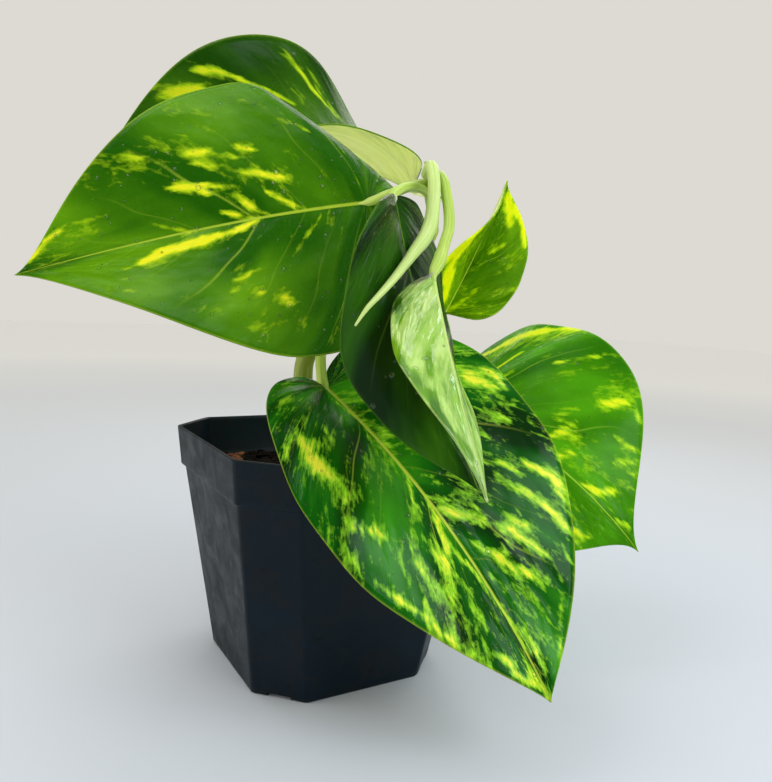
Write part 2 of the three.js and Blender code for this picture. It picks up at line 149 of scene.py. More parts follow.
floor_paint = bpy.data.materials.new("pale_floor")
floor_paint.use_nodes = True
tree = floor_paint.node_tree
reach = wire(tree, "VectorMath", {0: wire(tree, "TexCoord").outputs["Object"]}, operation="LENGTH")
spread = wire(tree, "MapRange", {
    "Value": reach.outputs["Value"], "From Min": FLOOR["fade_m"][0], "From Max": FLOOR["fade_m"][1]})
floor_tint = wire(tree, "Mix", {
    0: spread.outputs[0], 6: tint(FLOOR["near"]), 7: tint(FLOOR["far"])}, data_type="RGBA")
paint_shader = tree.nodes["Principled BSDF"]
paint_shader.inputs["Roughness"].default_value = 0.6
paint_shader.inputs["Specular IOR Level"].default_value = 0.2
tree.links.new(floor_tint.outputs[2], paint_shader.inputs["Base Color"])
floor_mesh = bpy.data.meshes.new("floor")
half = FLOOR["half_m"]
corners = [(-half, -half, 0), (half, -half, 0), (half, half, 0), (-half, half, 0)]
floor_mesh.from_pydata(corners, [], [(0, 1, 2, 3)])
floor_mesh.materials.append(floor_paint)
floor = bpy.data.objects.new("floor", floor_mesh)
bpy.context.scene.collection.objects.link(floor)


# Nursery pot: one thin moulding of black plastic, square with cut corners, a stiffening band at the
# rim and four drainage holes. The corners are rounded and the foot is notched where the pots stack.
POT = {
    "foot_half": 38, "step_half": 48.2, "band_half": 49.6, "rim_half": 51, "height": 89,
    "band_height": 15.6, "foot_cut": 14.9, "rim_cut": 16.5, "wall": 1.3, "floor": 1.6,
    "corner_radius": 3, "corner_steps": 6, "flat_end": 0.6, "sharp_above": 50,
    "drain_radius": 4.2, "drain_offset": 17, "drain_depth": 6, "notch": (9, 5, 3),
}
# The wall's outline from the foot up to the rim, then down inside: a half width of the pot and what is
# added to it, a level and what is added to that
OUTSIDE = [
    ("foot_half", -1.2, "ground", 0), ("foot_half", -0.4, "ground", 0.15),
    ("foot_half", 0, "ground", 0.8), ("foot_half", 0.3, "ground", 3),
    ("step_half", -0.2, "band", -2.0), ("step_half", 0, "band", -0.9),
    ("step_half", 0.35, "band", -0.3), ("band_half", -0.3, "band", -0.05),
    ("band_half", 0, "band", 0.4), ("band_half", 0.1, "band", 2),
    ("rim_half", -0.1, "rim", -1.2), ("rim_half", -0.05, "rim", -0.35),
    ("rim_half", -0.4, "rim", -0.05), ("rim_half", -0.9, "rim", -0.05),
]
INSIDE = [
    ("rim_half", 0, "rim", -0.4), ("rim_half", -0.1, "rim", -1.5),
    ("band_half", 0, "band", 1.2), ("band_half", -0.4, "band", 0.2),
    ("step_half", 0, "band", -0.9), ("step_half", -0.3, "band", -3),
    ("foot_half", 0.4, "floor", 1.5), ("foot_half", -0.8, "floor", 0),
]


class Finish:
    """A material with one shader. Sockets go by their names in lower case, as in base_color."""

    def __init__(self, name, **values):
        self.material = bpy.data.materials.new(name)
        self.material.use_nodes = True
        self.tree = self.material.node_tree
        for key, value in values.items():
            self.socket(key).default_value = value

    def socket(self, key):
        title = key.replace("_", " ").title().replace("Ior", "IOR")
        return self.tree.nodes["Principled BSDF"].inputs[title]

    def link(self, **outputs):
        for key, output in outputs.items():
            self.tree.links.new(output, self.socket(key))

    def add(self, kind, inputs=None, **settings):
        return wire(self.tree, kind, inputs, **settings).outputs

    def place(self):
        return self.add("TexCoord")["Object"]

    def layer(self, name):
        return self.add("UVMap", uv_map=name)[0]

    def split(self, vector):
        return self.add("SeparateXYZ", {"Vector": vector})

    def stretch(self, vector, across, along, shift=0.0):
        return self.add("Mapping", {
            "Vector": vector, "Location": (0, 0, shift), "Scale": (across, along, 1)})[0]

    def noise(self, vector, scale, detail=2.0, roughness=0.5, distortion=0.0):
        return self.add("TexNoise", {
            "Vector": vector, "Scale": scale, "Detail": detail, "Roughness": roughness,
            "Distortion": distortion})["Fac"]

    def maths(self, operation, first, second=0.0, third=0.0, clamp=False):
        inputs = {0: first, 1: second, 2: third}
        return self.add("Math", inputs, operation=operation, use_clamp=clamp)[0]

    def ramp(self, value, *stops):
        """Colours or greys along a value. Each stop is a place with six hex digits or a grey."""
        node = wire(self.tree, "ValToRGB", {"Fac": value})
        band = node.color_ramp.elements
        while len(band) < len(stops):
            band.new(1)
        for element, (place, colour) in zip(band, stops):
            element.position = place
            element.color = tint(colour) if isinstance(colour, str) else (colour, colour, colour, 1)
        return node.outputs["Color"]

    def blend(self, amount, first, second):
        first, second = (tint(c) if isinstance(c, str) else c for c in (first, second))
        return self.add("Mix", {0: amount, 6: first, 7: second}, data_type="RGBA")[2]

    def bump(self, height, distance, strength, under=None):
        inputs = {"Height": height, "Distance": distance, "Strength": strength}
        if under is not None:
            inputs["Normal"] = under
        return self.add("Bump", inputs)["Normal"]


def make_piece(name, points, faces, finishes, slot, *nodes, finish_of=None, layers=None):
    """A smooth mesh that rides on the pot, from points in millimetres."""
    mesh = bpy.data.meshes.new(name)
    mesh.from_pydata((np.asarray(points) * MM).tolist(), [], [list(map(int, f)) for f in faces])
    for finish in finishes:
        mesh.materials.append(finish.material)
    if finish_of is not None:
        mesh.polygons.foreach_set("material_index", np.asarray(finish_of, dtype=np.int32))
    for layer, values in (layers or {}).items():
        flat_values = np.asarray(values, dtype=np.float32).ravel()
        mesh.uv_layers.new(name=layer).data.foreach_set("uv", flat_values)
    mesh.polygons.foreach_set("use_smooth", [True] * len(mesh.polygons))
    piece = bpy.data.objects.new(name, mesh)
    bpy.context.scene.collection.objects.link(piece)
    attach(piece, "root")
    if nodes:
        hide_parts(*nodes)
    return piece


def pot_section(half, z):
    """Points round the pot at one height, with round corners and a close pair at each end of a flat."""
    cut = POT["foot_cut"] + (POT["rim_cut"] - POT["foot_cut"]) * z / POT["height"]
    corners = np.array([
        (-half + cut, -half), (half - cut, -half), (half, -half + cut), (half, half - cut),
        (half - cut, half), (-half + cut, half), (-half, half - cut), (-half, -half + cut)])
    radius, steps = POT["corner_radius"], POT["corner_steps"]
    reach = radius * math.tan(math.pi / 8)
    points = []
    for i, corner in enumerate(corners):
        back = corners[i - 1] - corner
        ahead = corners[(i + 1) % 8] - corner
        back, ahead = back / np.linalg.norm(back), ahead / np.linalg.norm(ahead)
        inward = (back + ahead) / np.linalg.norm(back + ahead)
        centre = corner + inward * radius / math.cos(math.pi / 8)
        start = corner + back * reach - centre
        points.append(corner + back * (reach + POT["flat_end"]))
        for k in range(steps + 1):
            angle = math.pi / 4 * k / steps
            points.append(centre + (start[0] * math.cos(angle) - start[1] * math.sin(angle),
                                    start[0] * math.sin(angle) + start[1] * math.cos(angle)))
        points.append(corner + ahead * (reach + POT["flat_end"]))
    return np.column_stack([np.array(points), np.full(len(points), z)])


def skin(rings):
    """Faces over rings of equal count, with a fan at each end."""
    count = len(rings[0])
    points = list(np.vstack(rings))
    faces = []
    for r in range(len(rings) - 1):
        for i in range(count):
            j = (i + 1) % count
            faces.append((r * count + i, r * count + j, (r + 1) * count + j, (r + 1) * count + i))
    for ring, start, flip in ((rings[0], 0, True), (rings[-1], (len(rings) - 1) * count, False)):
        points.append(ring.mean(0))
        for i in range(count):
            j = (i + 1) % count
            ends = (start + j, start + i) if flip else (start + i, start + j)
            faces.append((*ends, len(points) - 1))
    return np.array(points), faces


plastic = Finish("black_moulded_plastic", roughness=0.36, specular_ior_level=0.16)
place = plastic.place()
haze = plastic.noise(place, 26, 4, 0.6)
smear = plastic.noise(place, 90, 5, 0.65, 0.6)
specks = plastic.ramp(plastic.noise(place, 420, 2, 0.5), (0.66, 0.0), (0.69, 1.0))
dust = plastic.ramp(smear, (0.45, 0.0), (0.8, 0.5))
colour = plastic.blend(haze, "000d16", "011c2a")
colour = plastic.blend(dust, colour, "241c12")
speckled = plastic.maths("MULTIPLY", specks, smear, clamp=True)
grain = plastic.bump(plastic.noise(place, 1400, 2), 0.00004, 0.5)
plastic.link(
    base_color=plastic.blend(speckled, colour, "010304"),
    roughness=plastic.ramp(smear, (0.3, 0.33), (0.75, 0.62)),
    normal=plastic.bump(smear, 0.0002, 0.4, grain))

levels = {
    "ground": 0, "floor": POT["floor"], "band": POT["height"] - POT["band_height"],
    "rim": POT["height"],
}
profile = [(POT[half] + out, levels[level] + up) for half, out, level, up in OUTSIDE]
profile += [(POT[half] - POT["wall"] + out, levels[level] + up) for half, out, level, up in INSIDE]
pot_points, pot_faces = skin([pot_section(half, z) for half, z in profile])
pot = make_piece("nursery_pot", pot_points, pot_faces, [plastic], "pot", "pot")
cutters = bmesh.new()
notch_size = Matrix.Diagonal((*(side * MM for side in POT["notch"]), 1))
notch_middle = (POT["foot_half"] - POT["foot_cut"] / 2) * MM
drain_middle, drain_radius = POT["drain_offset"] * MM, POT["drain_radius"] * MM
for sx in (-1, 1):
    for sy in (-1, 1):
        drain = Matrix.Translation((sx * drain_middle, sy * drain_middle, 0))
        bmesh.ops.create_cone(
            cutters, cap_ends=True, segments=32, radius1=drain_radius, radius2=drain_radius,
            depth=POT["drain_depth"] * MM, matrix=drain)
        turn = Matrix.Rotation(math.pi / 4 * (1 if sx * sy < 0 else 3), 4, "Z")
        notch = Matrix.Translation((sx * notch_middle, sy * notch_middle, 0)) @ turn @ notch_size
        bmesh.ops.create_cube(cutters, size=1, matrix=notch)
cutter_mesh = bpy.data.meshes.new("pot_cutters")
cutters.to_mesh(cutter_mesh)
cutter = bpy.data.objects.new("pot_cutters", cutter_mesh)
bpy.context.scene.collection.objects.link(cutter)
holes = pot.modifiers.new("holes", "BOOLEAN")
holes.object = cutter
holes.solver = "EXACT"
cut_mesh = bpy.data.meshes.new_from_object(pot.evaluated_get(bpy.context.evaluated_depsgraph_get()))
pot.modifiers.clear()
pot.data = cut_mesh
cut_mesh.set_sharp_from_angle(angle=math.radians(POT["sharp_above"]))
bpy.data.objects.remove(cutter)


# Potting soil: crumbly peat mix that fills the pot to a finger's breadth below the rim. The body has a
# lumpy crown, and loose crumbs lie on it. Its browns are painted far darker than peat, as painted shade
# of the pot's inside, on the body and the crumbs alike.
SOIL = {
    "below_rim": 16.5, "crown": 2.6, "lump": 1.1, "lumps": ((1, 0.13), (0.55, 0.37), (0.3, 0.9)),
    "gap": 0.35, "rings": 46,
}
CRUMBS = {
    "seed": 11, "shapes": 6, "rough": (0.5, 0.9), "squash": (0.6, 0.9), "detail": 2, "narrow": 1,
    "count": 900, "reach": 46, "corner": 76, "size": (0.8, 2.6, 3), "lean": 0, "lift": (0, 0.1),
}
soil_edge = POT["height"] - SOIL["below_rim"]


def soil_height(x, y):
    share = min(1, max(abs(x), abs(y)) / POT["step_half"])
    spot = Vector((x, y, 3.0))
    lumps = sum(height * noise.noise(spot * scale) for height, scale in SOIL["lumps"])
    return soil_edge + SOIL["crown"] * (1 - share * share) + SOIL["lump"] * lumps


soil_in_painted_shade = Finish("soil_in_painted_shade", roughness=0.93, specular_ior_level=0.08)
clod = soil_in_painted_shade.noise(soil_in_painted_shade.place(), 160, 6, 0.7)
fibre = soil_in_painted_shade.noise(soil_in_painted_shade.place(), 900, 3, 0.6)
# Painted shade: the peat's browns are set near black, for the shade inside the pot
painted_shade_earth = soil_in_painted_shade.ramp(clod, (0.32, "040302"), (0.5, "0b0805"), (0.7, "1a120c"))
height = soil_in_painted_shade.maths("ADD", clod, soil_in_painted_shade.maths("MULTIPLY", fibre, 0.3))
soil_in_painted_shade.link(
    base_color=soil_in_painted_shade.blend(soil_in_painted_shade.ramp(fibre, (0.64, 0.0), (0.7, 1.0)), painted_shade_earth, "4a3526"),
    normal=soil_in_painted_shade.bump(height, 0.0012, 0.9))

inside = POT["wall"] + SOIL["gap"]
foot_ring = pot_section(POT["foot_half"] - inside, 0) + (0, 0, POT["floor"] + 0.4)
top_ring = pot_section(POT["step_half"] - inside - 0.1, soil_edge)
rings = [foot_ring, top_ring - (0, 0, 0.8)]
for share in np.linspace(1, 0.02, SOIL["rings"]):
    ring = top_ring * (share, share, 1)
    ring[:, 2] = [soil_height(x, y) for x, y in ring[:, :2]]
    rings.append(ring)
make_piece("potting_soil", *skin(rings), [soil_in_painted_shade], "soil", "soil")


def lump_mesh(rough, squash, detail):
    """Points and faces of one uneven lump about 1 across."""
    ball = bmesh.new()
    bmesh.ops.create_icosphere(ball, subdivisions=detail, radius=0.5)
    points = np.array([v.co[:] for v in ball.verts])
    faces = [[v.index for v in f.verts] for f in ball.faces]
    ball.free()
    shift = Vector((rough * 91, squash * 57, 3))
    grow = np.array([1 + rough * noise.noise(Vector(p) * 2.3 + shift) for p in points])
    return points * grow[:, None] * (1, 1, squash), faces


def strew(litter):
    """Lumps dropped at random on the soil, as one mesh with a tone to each lump."""
    draw = random.Random(litter["seed"])
    shapes = [
        lump_mesh(draw.uniform(*litter["rough"]), draw.uniform(*litter["squash"]), litter["detail"])
        for _ in range(litter["shapes"])]
    least, more, power = litter["size"]
    points, faces, tones, laid = [], [], [], 0
    while laid < litter["count"]:
        x, y = (draw.uniform(-litter["reach"], litter["reach"]) for _ in range(2))
        if abs(x) + abs(y) > litter["corner"]:
            continue
        size = least + more * draw.random() ** power
        turn = Matrix.Identity(3)
        for axis in "XY" if litter["lean"] else "":
            turn = turn @ Matrix.Rotation(draw.uniform(-litter["lean"], litter["lean"]), 3, axis)
        turn = (Matrix.Rotation(draw.uniform(0, 6.28), 3, "Z") @ turn).to_quaternion()
        shape, shape_faces = shapes[draw.randrange(litter["shapes"])]
        lift = litter["lift"][0] + litter["lift"][1] * size
        centre = (x, y, soil_height(x, y) + lift)
        first = laid * len(shape)
        spun = shape * (1, litter["narrow"], 1) * size @ np.array(turn.to_matrix()).T
        points.append(spun + centre)
        faces += [[i + first for i in face] for face in shape_faces]
        tones += [(draw.random(), 0.5)] * (3 * len(shape_faces))
        laid += 1
    return np.vstack(points), faces, tones


points, faces, tones = strew(CRUMBS)
make_piece("soil_crumbs", points, faces, [soil_in_painted_shade], "soil", layers={"tone": tones})


# Bark chips: orange-brown shreds of conifer bark from the potting mix, left lying on the soil. Each is
# a thin split slab with a ragged outline, and no two have the same tone.
CHIPS = {
    "seed": 5, "shapes": 7, "rough": (0.5, 0.8), "squash": (0.16, 0.3), "detail": 3, "narrow": 0.55,
    "count": 30, "reach": 42, "corner": 68, "size": (3.0, 5.5, 1), "lean": 0.3, "lift": (0.35, 0),
}

bark = Finish("conifer_bark", roughness=0.8, specular_ior_level=0.3)
tone = bark.split(bark.layer("tone"))["X"]
grain = bark.noise(bark.place(), 420, 5, 0.7, 1.2)
wood = bark.ramp(tone, (0.0, "5a2c14"), (0.45, "7c431d"), (0.8, "9a6232"),
                 (1.0, "332014"))
bark.link(
    base_color=bark.blend(bark.ramp(grain, (0.4, 0.0), (0.62, 0.75)), wood, "3a2012"),
    normal=bark.bump(grain, 0.0005, 0.8))
points, faces, tones = strew(CHIPS)
make_piece("bark_chips", points, faces, [bark], "soil", layers={"tone": tones})


# Main vine: one fleshy stem, thick at the soil and thinner upwards, with a swollen ring and a scar
# where each leaf stalk leaves it. It bends forward under the weight of its leaves.
VINE = {
    "path": [
        (-12, 3, 50), (-12, 1, 76), (-10.5, -4, 104), (-9, -8, 120), (1, -16, 132),
        (18, -26, 146), (30, -32, 156), (34.5, -36, 168), (33.8, -40, 179), (31.2, -44, 187.8)],
    "radii": [4, 4, 3.9, 3.7, 3.3, 2.9, 2.6, 2.4, 2.1, 0.5],
    "nodes": [0.2, 0.52, 0.76, 0.86, 0.93],
}


def smooth_path(points, count):
    """Points at even distances along a smooth curve through the given ones, their places counted in
    given points, and the curve's length."""
    points = np.array(points, float)
    gaps = np.sqrt(np.linalg.norm(np.diff(points, axis=0), axis=1))
    knots = np.concatenate([[0], np.cumsum(gaps)])
    slopes = np.gradient(points, knots, axis=0)
    fine = np.linspace(0, knots[-1], count * 6)
    slot = np.clip(np.searchsorted(knots, fine, side="right") - 1, 0, len(knots) - 2)
    width = (knots[slot + 1] - knots[slot])[:, None]
    t = ((fine - knots[slot])[:, None]) / width
    curve = ((2 * t**3 - 3 * t**2 + 1) * points[slot] + (t**3 - 2 * t**2 + t) * width * slopes[slot]
             + (3 * t**2 - 2 * t**3) * points[slot + 1] + (t**3 - t**2) * width * slopes[slot + 1])
    run = np.concatenate([[0], np.cumsum(np.linalg.norm(np.diff(curve, axis=0), axis=1))])
    at = np.linspace(0, run[-1], count)
    share = np.interp(at, run, fine / knots[-1] * (len(points) - 1))
    return np.column_stack([np.interp(at, run, curve[:, k]) for k in range(3)]), share, run[-1]


def carried_frames(path):
    """Two directions across a path that don't twist about it."""
    along = np.gradient(path, axis=0)
    along /= np.linalg.norm(along, axis=1)[:, None]
    across = np.cross(along[0], (0.3, 1, 0.1))
    firsts = []
    for direction in along:
        across = across - direction * across.dot(direction)
        across /= np.linalg.norm(across)
        firsts.append(across)
    firsts = np.array(firsts)
    return firsts, np.cross(along, firsts)


def bell(distance, width):
    return np.exp(-((distance / width) ** 2))


def stem_piece(name, path, radii, finish, slot, node, count, swell=None, sides=20, groove=0, keel=0):
    """A closed stem. Swell is added to its radius, and the groove or keel runs along one side."""
    path, share, length = smooth_path(path, count)
    radius = np.interp(share, np.arange(len(radii)), radii)
    if swell is not None:
        radius = radius + swell(np.linspace(0, 1, count))
    firsts, seconds = carried_frames(path)
    angle = np.linspace(0, 2 * math.pi, sides, endpoint=False)
    shape = (1 - groove * bell(angle - math.pi, 0.5) + keel * bell(angle - math.pi, 0.3))[:, None]
    cosines, sines = np.cos(angle)[:, None], np.sin(angle)[:, None]
    points, faces = skin([
        path[i] + radius[i] * shape * (cosines * firsts[i] + sines * seconds[i]) for i in range(count)])
    layer = []
    for face in faces:
        seam = min(face) % sides == 0 and len(face) == 4
        for i in face:
            side = (i % sides) / sides
            if seam and i < count * sides and i % sides == sides - 1:
                side -= 1
            layer.append((side, min(i // sides, count - 1) / (count - 1) * length / 100))
    make_piece(name, points @ turn_to_pot.T, faces, [finish], slot, node, layers={"length": layer})


def stem_finish(name, colours, marks_above):
    """Skin of a stem: streaks of three greens along it, and corky marks where the noise is high."""
    pale, fresh, deep, mark = colours
    finish = Finish(name, roughness=0.42, specular_ior_level=0.5, subsurface_weight=0.12,
                    subsurface_scale=0.003, subsurface_radius=(0.6, 1.0, 0.2))
    along = finish.layer("length")
    streak = finish.noise(finish.stretch(along, 9, 2.2), 2.4, 4, 0.6)
    greens = finish.ramp(streak, (0.2, deep), (0.5, fresh), (0.8, pale))
    cork = finish.noise(finish.place(), 520, 3, 0.65)
    spots = finish.ramp(cork, (marks_above, 0.0), (marks_above + 0.06, 0.8))
    ridges = finish.noise(finish.stretch(along, 26, 1.2), 2, 3)
    finish.link(
        base_color=finish.blend(spots, greens, mark), normal=finish.bump(ridges, 0.0002, 0.25))
    return finish


def vine_swell(at):
    rise = sum(0.55 * bell(at - node, 0.014) for node in VINE["nodes"])
    scar = sum(0.22 * bell(at - node - 0.012, 0.0035) for node in VINE["nodes"])
    return rise - scar


vine_skin = stem_finish("vine_skin", ("c3cf62", "93a83a", "6d8a24", "6f5a2c"), 0.66)
stem_piece("main_vine", VINE["path"], VINE["radii"], vine_skin, "vine", "vine",
           count=240, sides=28, swell=vine_swell)


# Leaf blades: heart-shaped, leathery and glossy, one to a stalk. Each half is drawn flat, folded and
# curled about the midrib, and the midrib is bent, as in the part's source. The near-parallel side veins
# leave the base and the midrib, and the yellow flecks follow them.
#
# The groove over the midrib and the ridge under it have a height and a half width in millimetres. Each
# leaf has its heading, pitch and roll, its bend as droop, further droop, sweep and twist, the share of
# noise in its flecks, its veins to a half, its midrib's half width, and the shares of cells with drops.
BLADE = {
    "edge_steps": 150, "vein_steps": 30, "fan": 0.62, "crowd": 1.6, "thickness": 0.62,
    "groove": (0.32, 0.8), "ridge": (0.95, 1.15), "quilt": 0.16,
}
WAVE = {"height": 0.8, "count": 3.2, "right_phase": 0.35}
SIDE = ("width", "lobe", "widest", "full", "fold", "curl", "rolled")
LEAVES = {
    "leaf_1": {
        "base": (13.5, -48, 173.5), "stand": (-186, -8, -78), "length": 117.5,
        "bend": (-2, -12, 15, 4), "wave": 0.1, "tip": 0.12,
        "left": (0.43, 0.14, 0.21, 0.26, (10, 7), (-1, 51)),
        "right": (0.45, 0.14, 0.31, 0.33, (1, 24), (-27, -26), (51, -105, 0.165)),
        "stalk": [(33.5, -38.5, 180.5), (31.5, -39.8, 181.6), (28.8, -42, 180.6),
                  (25.6, -44.5, 179.2), (22.1, -47.2, 177.3), (18.4, -48.8, 175.5)],
        "stalk_radius": 1.6, "look": "bright", "flecks": 0.19, "veins": 6, "rib": 0.008,
        "wet": (0.45, 0.5),
    },
    "leaf_2": {
        "base": (29, 15, 188), "stand": (180.5, 21.9, -14), "length": 129,
        "bend": (22, 16, -4, -2), "wave": 0.45, "tip": 0.06,
        "left": (0.25, 0, 0.33, 0.44, (34, -42), (0, 10)),
        "right": (0.42, 0.12, 0.41, 0.19, (7, 74), (-35, 67)),
        "stalk": [(33.8, -37, 176), (36, -28, 182.5), (36, -10, 187), (33.5, 6, 187.8)],
        "stalk_radius": 1.5, "look": "deep", "flecks": 0.16, "veins": 7, "rib": 0.007,
        "wet": (0.05, 0.1),
    },
    "leaf_3": {
        "base": (21.5, -61.5, 174), "stand": (-44, -72, -17.5), "length": 92.5,
        "bend": (-13, -2, -7, 39), "wave": 0.7, "tip": 0.09,
        "left": (0.27, 0.01, 0.3, 0.42, (14, -26), (-33, -46)),
        "right": (0.3, -0.07, 0.4, 0.32, (21, -32), (-14, -63)),
        "stalk": [(34, -37.5, 173), (33, -42, 176.9), (30.8, -45.5, 178.6), (27.7, -49, 178.9),
                  (24.7, -53.5, 177.9), (22.8, -57.5, 176.3)],
        "stalk_radius": 1.4, "look": "olive", "flecks": 0.12, "veins": 5, "rib": 0.007,
        "wet": (0.25, 0.3),
    },
    "leaf_4": {
        "base": (34, -81, 150.5), "stand": (-74.5, -55, 18.5), "length": 67,
        "bend": (4, 0, 6, -13), "wave": 0.3, "tip": 0.2,
        "left": (0.2, 0.04, 0.27, 0.44, (-90, -48), (0, 0)),
        "right": (0.22, -0.03, 0.29, 0.42, (1, 39), (-42, 29)),
        "stalk": [(34.2, -41, 181.5), (35.5, -46, 183.2), (37, -51, 180.5), (38, -54.5, 175.5),
                  (38.7, -58, 170), (38.6, -62, 165), (37, -68, 159.5), (35.4, -75, 154.3)],
        "stalk_radius": 1.7, "look": "young", "flecks": 0.58, "veins": 8, "rib": 0.008,
        "wet": (0.1, 0.1),
    },
    "leaf_6": {
        "base": (44, 5.5, 139), "stand": (41, 56.5, 38.5), "length": 59,
        "bend": (-23, -9, 0, 35), "wave": 0.9, "tip": 0.11,
        "left": (0.34, 0.07, 0.28, 0.41, (63, 80), (0, 0)),
        "right": (0.37, 0, 0.33, 0.49, (21, 16), (0, 0)),
        "stalk": [(19, 10, 56), (20, 10.5, 76), (27, 12, 96), (39, 12, 115), (45.5, 9, 129)],
        "stalk_radius": 1.4, "look": "spring", "flecks": 0.3, "veins": 6, "rib": 0.006,
        "wet": (0.1, 0.1),
    },
    "leaf_7": {
        "base": (53.5, 43.5, 98.5), "stand": (-61, -3, 36.5), "length": 108,
        "bend": (53, 20, 2, 13), "wave": 0.25, "tip": 0.16,
        "left": (0.55, 0.17, 0.34, 0.39, (8, -22), (-5, 14)),
        "right": (0.4, 0.13, 0.37, 0.51, (-10, 3), (-32, 2)),
        "stalk": [(13, 24, 56), (15, 25, 76), (22, 30, 95), (35, 38, 106), (47, 43.5, 104)],
        "stalk_radius": 1.7, "look": "fresh", "flecks": 0.26, "veins": 7, "rib": 0.008,
        "wet": (0.15, 0.15),
    },
    "leaf_8": {
        "base": (1, -37, 111.5), "stand": (-26.5, -34, 9), "length": 123,
        "bend": (19, 1, -10, 30), "wave": 0.6, "tip": 0.06,
        "left": (0.43, 0.07, 0.32, 0.36, (29, 10), (2, -8)),
        "right": (0.35, 0.04, 0.33, 0.34, (28, 17), (-61, -34)),
        "stalk": [(2, -17, 132), (0, -22, 131), (-1.5, -29.5, 125), (-0.8, -35, 117)],
        "stalk_radius": 1.9, "look": "mottled", "flecks": 0.28, "veins": 8, "rib": 0.014,
        "wet": (0.5, 0.45),
    },
}
HANDS = {1: "left", -1: "right"}


def turns(x_angle, y_angle, z_angle):
    """Turning matrices: about X first, then Y, then Z."""
    x_angle, y_angle, z_angle = np.broadcast_arrays(*map(np.asarray, (x_angle, y_angle, z_angle)))
    cx, sx, cy, sy, cz, sz = (f(a) for a in (x_angle, y_angle, z_angle) for f in (np.cos, np.sin))
    rows = [[cz * cy, cz * sy * sx - sz * cx, cz * sy * cx + sz * sx],
            [sz * cy, sz * sy * sx + cz * cx, sz * sy * cx - cz * sx],
            [-sy, cy * sx, cy * cx]]
    return np.stack([np.stack(row, -1) for row in rows], -2)


def cubic(ends, t):
    weights = np.stack([(1 - t) ** 3, 3 * (1 - t) ** 2 * t, 3 * (1 - t) * t**2, t**3], -1)
    return weights @ np.array(ends, float)


def flat_half(leaf, hand, edge, vein):
    """Flat places of one half, as shares of the blade's length."""
    w, lobe, widest, full = leaf[HANDS[hand]][:4]
    stretches = [
        [(0, 0), (-0.62 * lobe, 0.057 * w), (-lobe, 0.22 * w), (-lobe, 0.52 * w)],
        [(-lobe, 0.52 * w), (-lobe, 0.86 * w), (widest - 0.2, w), (widest, w)],
        [(widest, w), (widest + full, w), (1 - leaf["tip"], 0.03), (1, 0)]]
    number = np.minimum((edge * 3).astype(int), 2)
    rim = np.zeros(edge.shape + (2,))
    for k in range(3):
        rim[number == k] = cubic(stretches[k], edge[number == k] * 3 - k)
    start = np.clip((edge - BLADE["fan"]) / (1 - BLADE["fan"]), 0, 1) ** BLADE["crowd"]
    middle = np.stack([start + 0.3 * (rim[..., 0] - start), 0.6 * rim[..., 1]], -1)
    foot = np.stack([start, np.zeros_like(start)], -1)
    t = vein[..., None]
    return (1 - t) ** 2 * foot + 2 * t * (1 - t) * middle + t**2 * rim


def arc_offset(s, angle, bend):
    """Run and rise of a line that starts at an angle and turns evenly."""
    bend = np.where(np.abs(bend) < 1e-6, 1e-6, bend)
    end = angle + bend * s
    return (np.sin(end) - np.sin(angle)) / bend, (np.cos(angle) - np.cos(end)) / bend


def midrib_frames(leaf, u):
    droop, further, sweep, twist = leaf["bend"]
    return turns(*map(np.radians, (twist * u, droop * u + further * u * np.abs(u), sweep * u)))


def midrib_places(leaf, u):
    table = np.linspace(-0.4, 1, 281)
    heads = midrib_frames(leaf, table)[:, :, 0]
    steps = (heads[1:] + heads[:-1]) / 2 * (table[1] - table[0]) * leaf["length"]
    walk = np.vstack([np.zeros(3), np.cumsum(steps, axis=0)])
    walk -= [np.interp(0, table, walk[:, k]) for k in range(3)]
    return np.stack([np.interp(u, table, walk[:, k]) for k in range(3)], -1)


def bend_half(leaf, flat, hand):
    """Places in millimetres of flat points of a half. The left half has hand 1."""
    side = dict(zip(SIDE, leaf[HANDS[hand]]))
    x, y = flat[..., 0].copy(), flat[..., 1].copy()
    risen = np.zeros_like(x)
    if "rolled" in side:
        crease, turn = map(math.radians, side["rolled"][:2])
        within = side["rolled"][2]
        past = np.maximum(y * math.cos(crease) - x * math.sin(crease), 0)
        bent = np.minimum(past, within)
        along, risen = arc_offset(bent, 0.0, turn / within)
        along = along + (past - bent) * math.cos(turn)
        risen = risen + (past - bent) * math.sin(turn)
        x, y = x - (along - past) * math.sin(crease), y + (along - past) * math.cos(crease)
    blend = np.clip(x, 0, 1)
    blend = blend * blend * (3 - 2 * blend)
    fold, curl = (np.radians(a + (b - a) * blend) for a, b in (side["fold"], side["curl"]))
    curl = curl / side["width"]
    across, up = arc_offset(y, fold, curl)
    lean = fold + curl * y
    fade = np.clip((1 - x) * 4, 0, 1) * (flat[..., 1] / side["width"]) ** 2
    phase = WAVE["count"] * x + leaf["wave"] + (0 if hand > 0 else WAVE["right_phase"])
    wave = WAVE["height"] / leaf["length"] * fade * np.sin(2 * math.pi * phase)
    aside, above = across - risen * np.sin(lean), up + risen * np.cos(lean) + wave
    local = np.stack([np.zeros_like(x), hand * aside, above], -1)
    carried = np.einsum("...ij,...j->...i", midrib_frames(leaf, x), local * leaf["length"])
    heading, pitch, roll = map(math.radians, leaf["stand"])
    placed = midrib_places(leaf, x) + carried
    return placed @ turns(roll, -pitch, heading).T + np.array(leaf["base"])


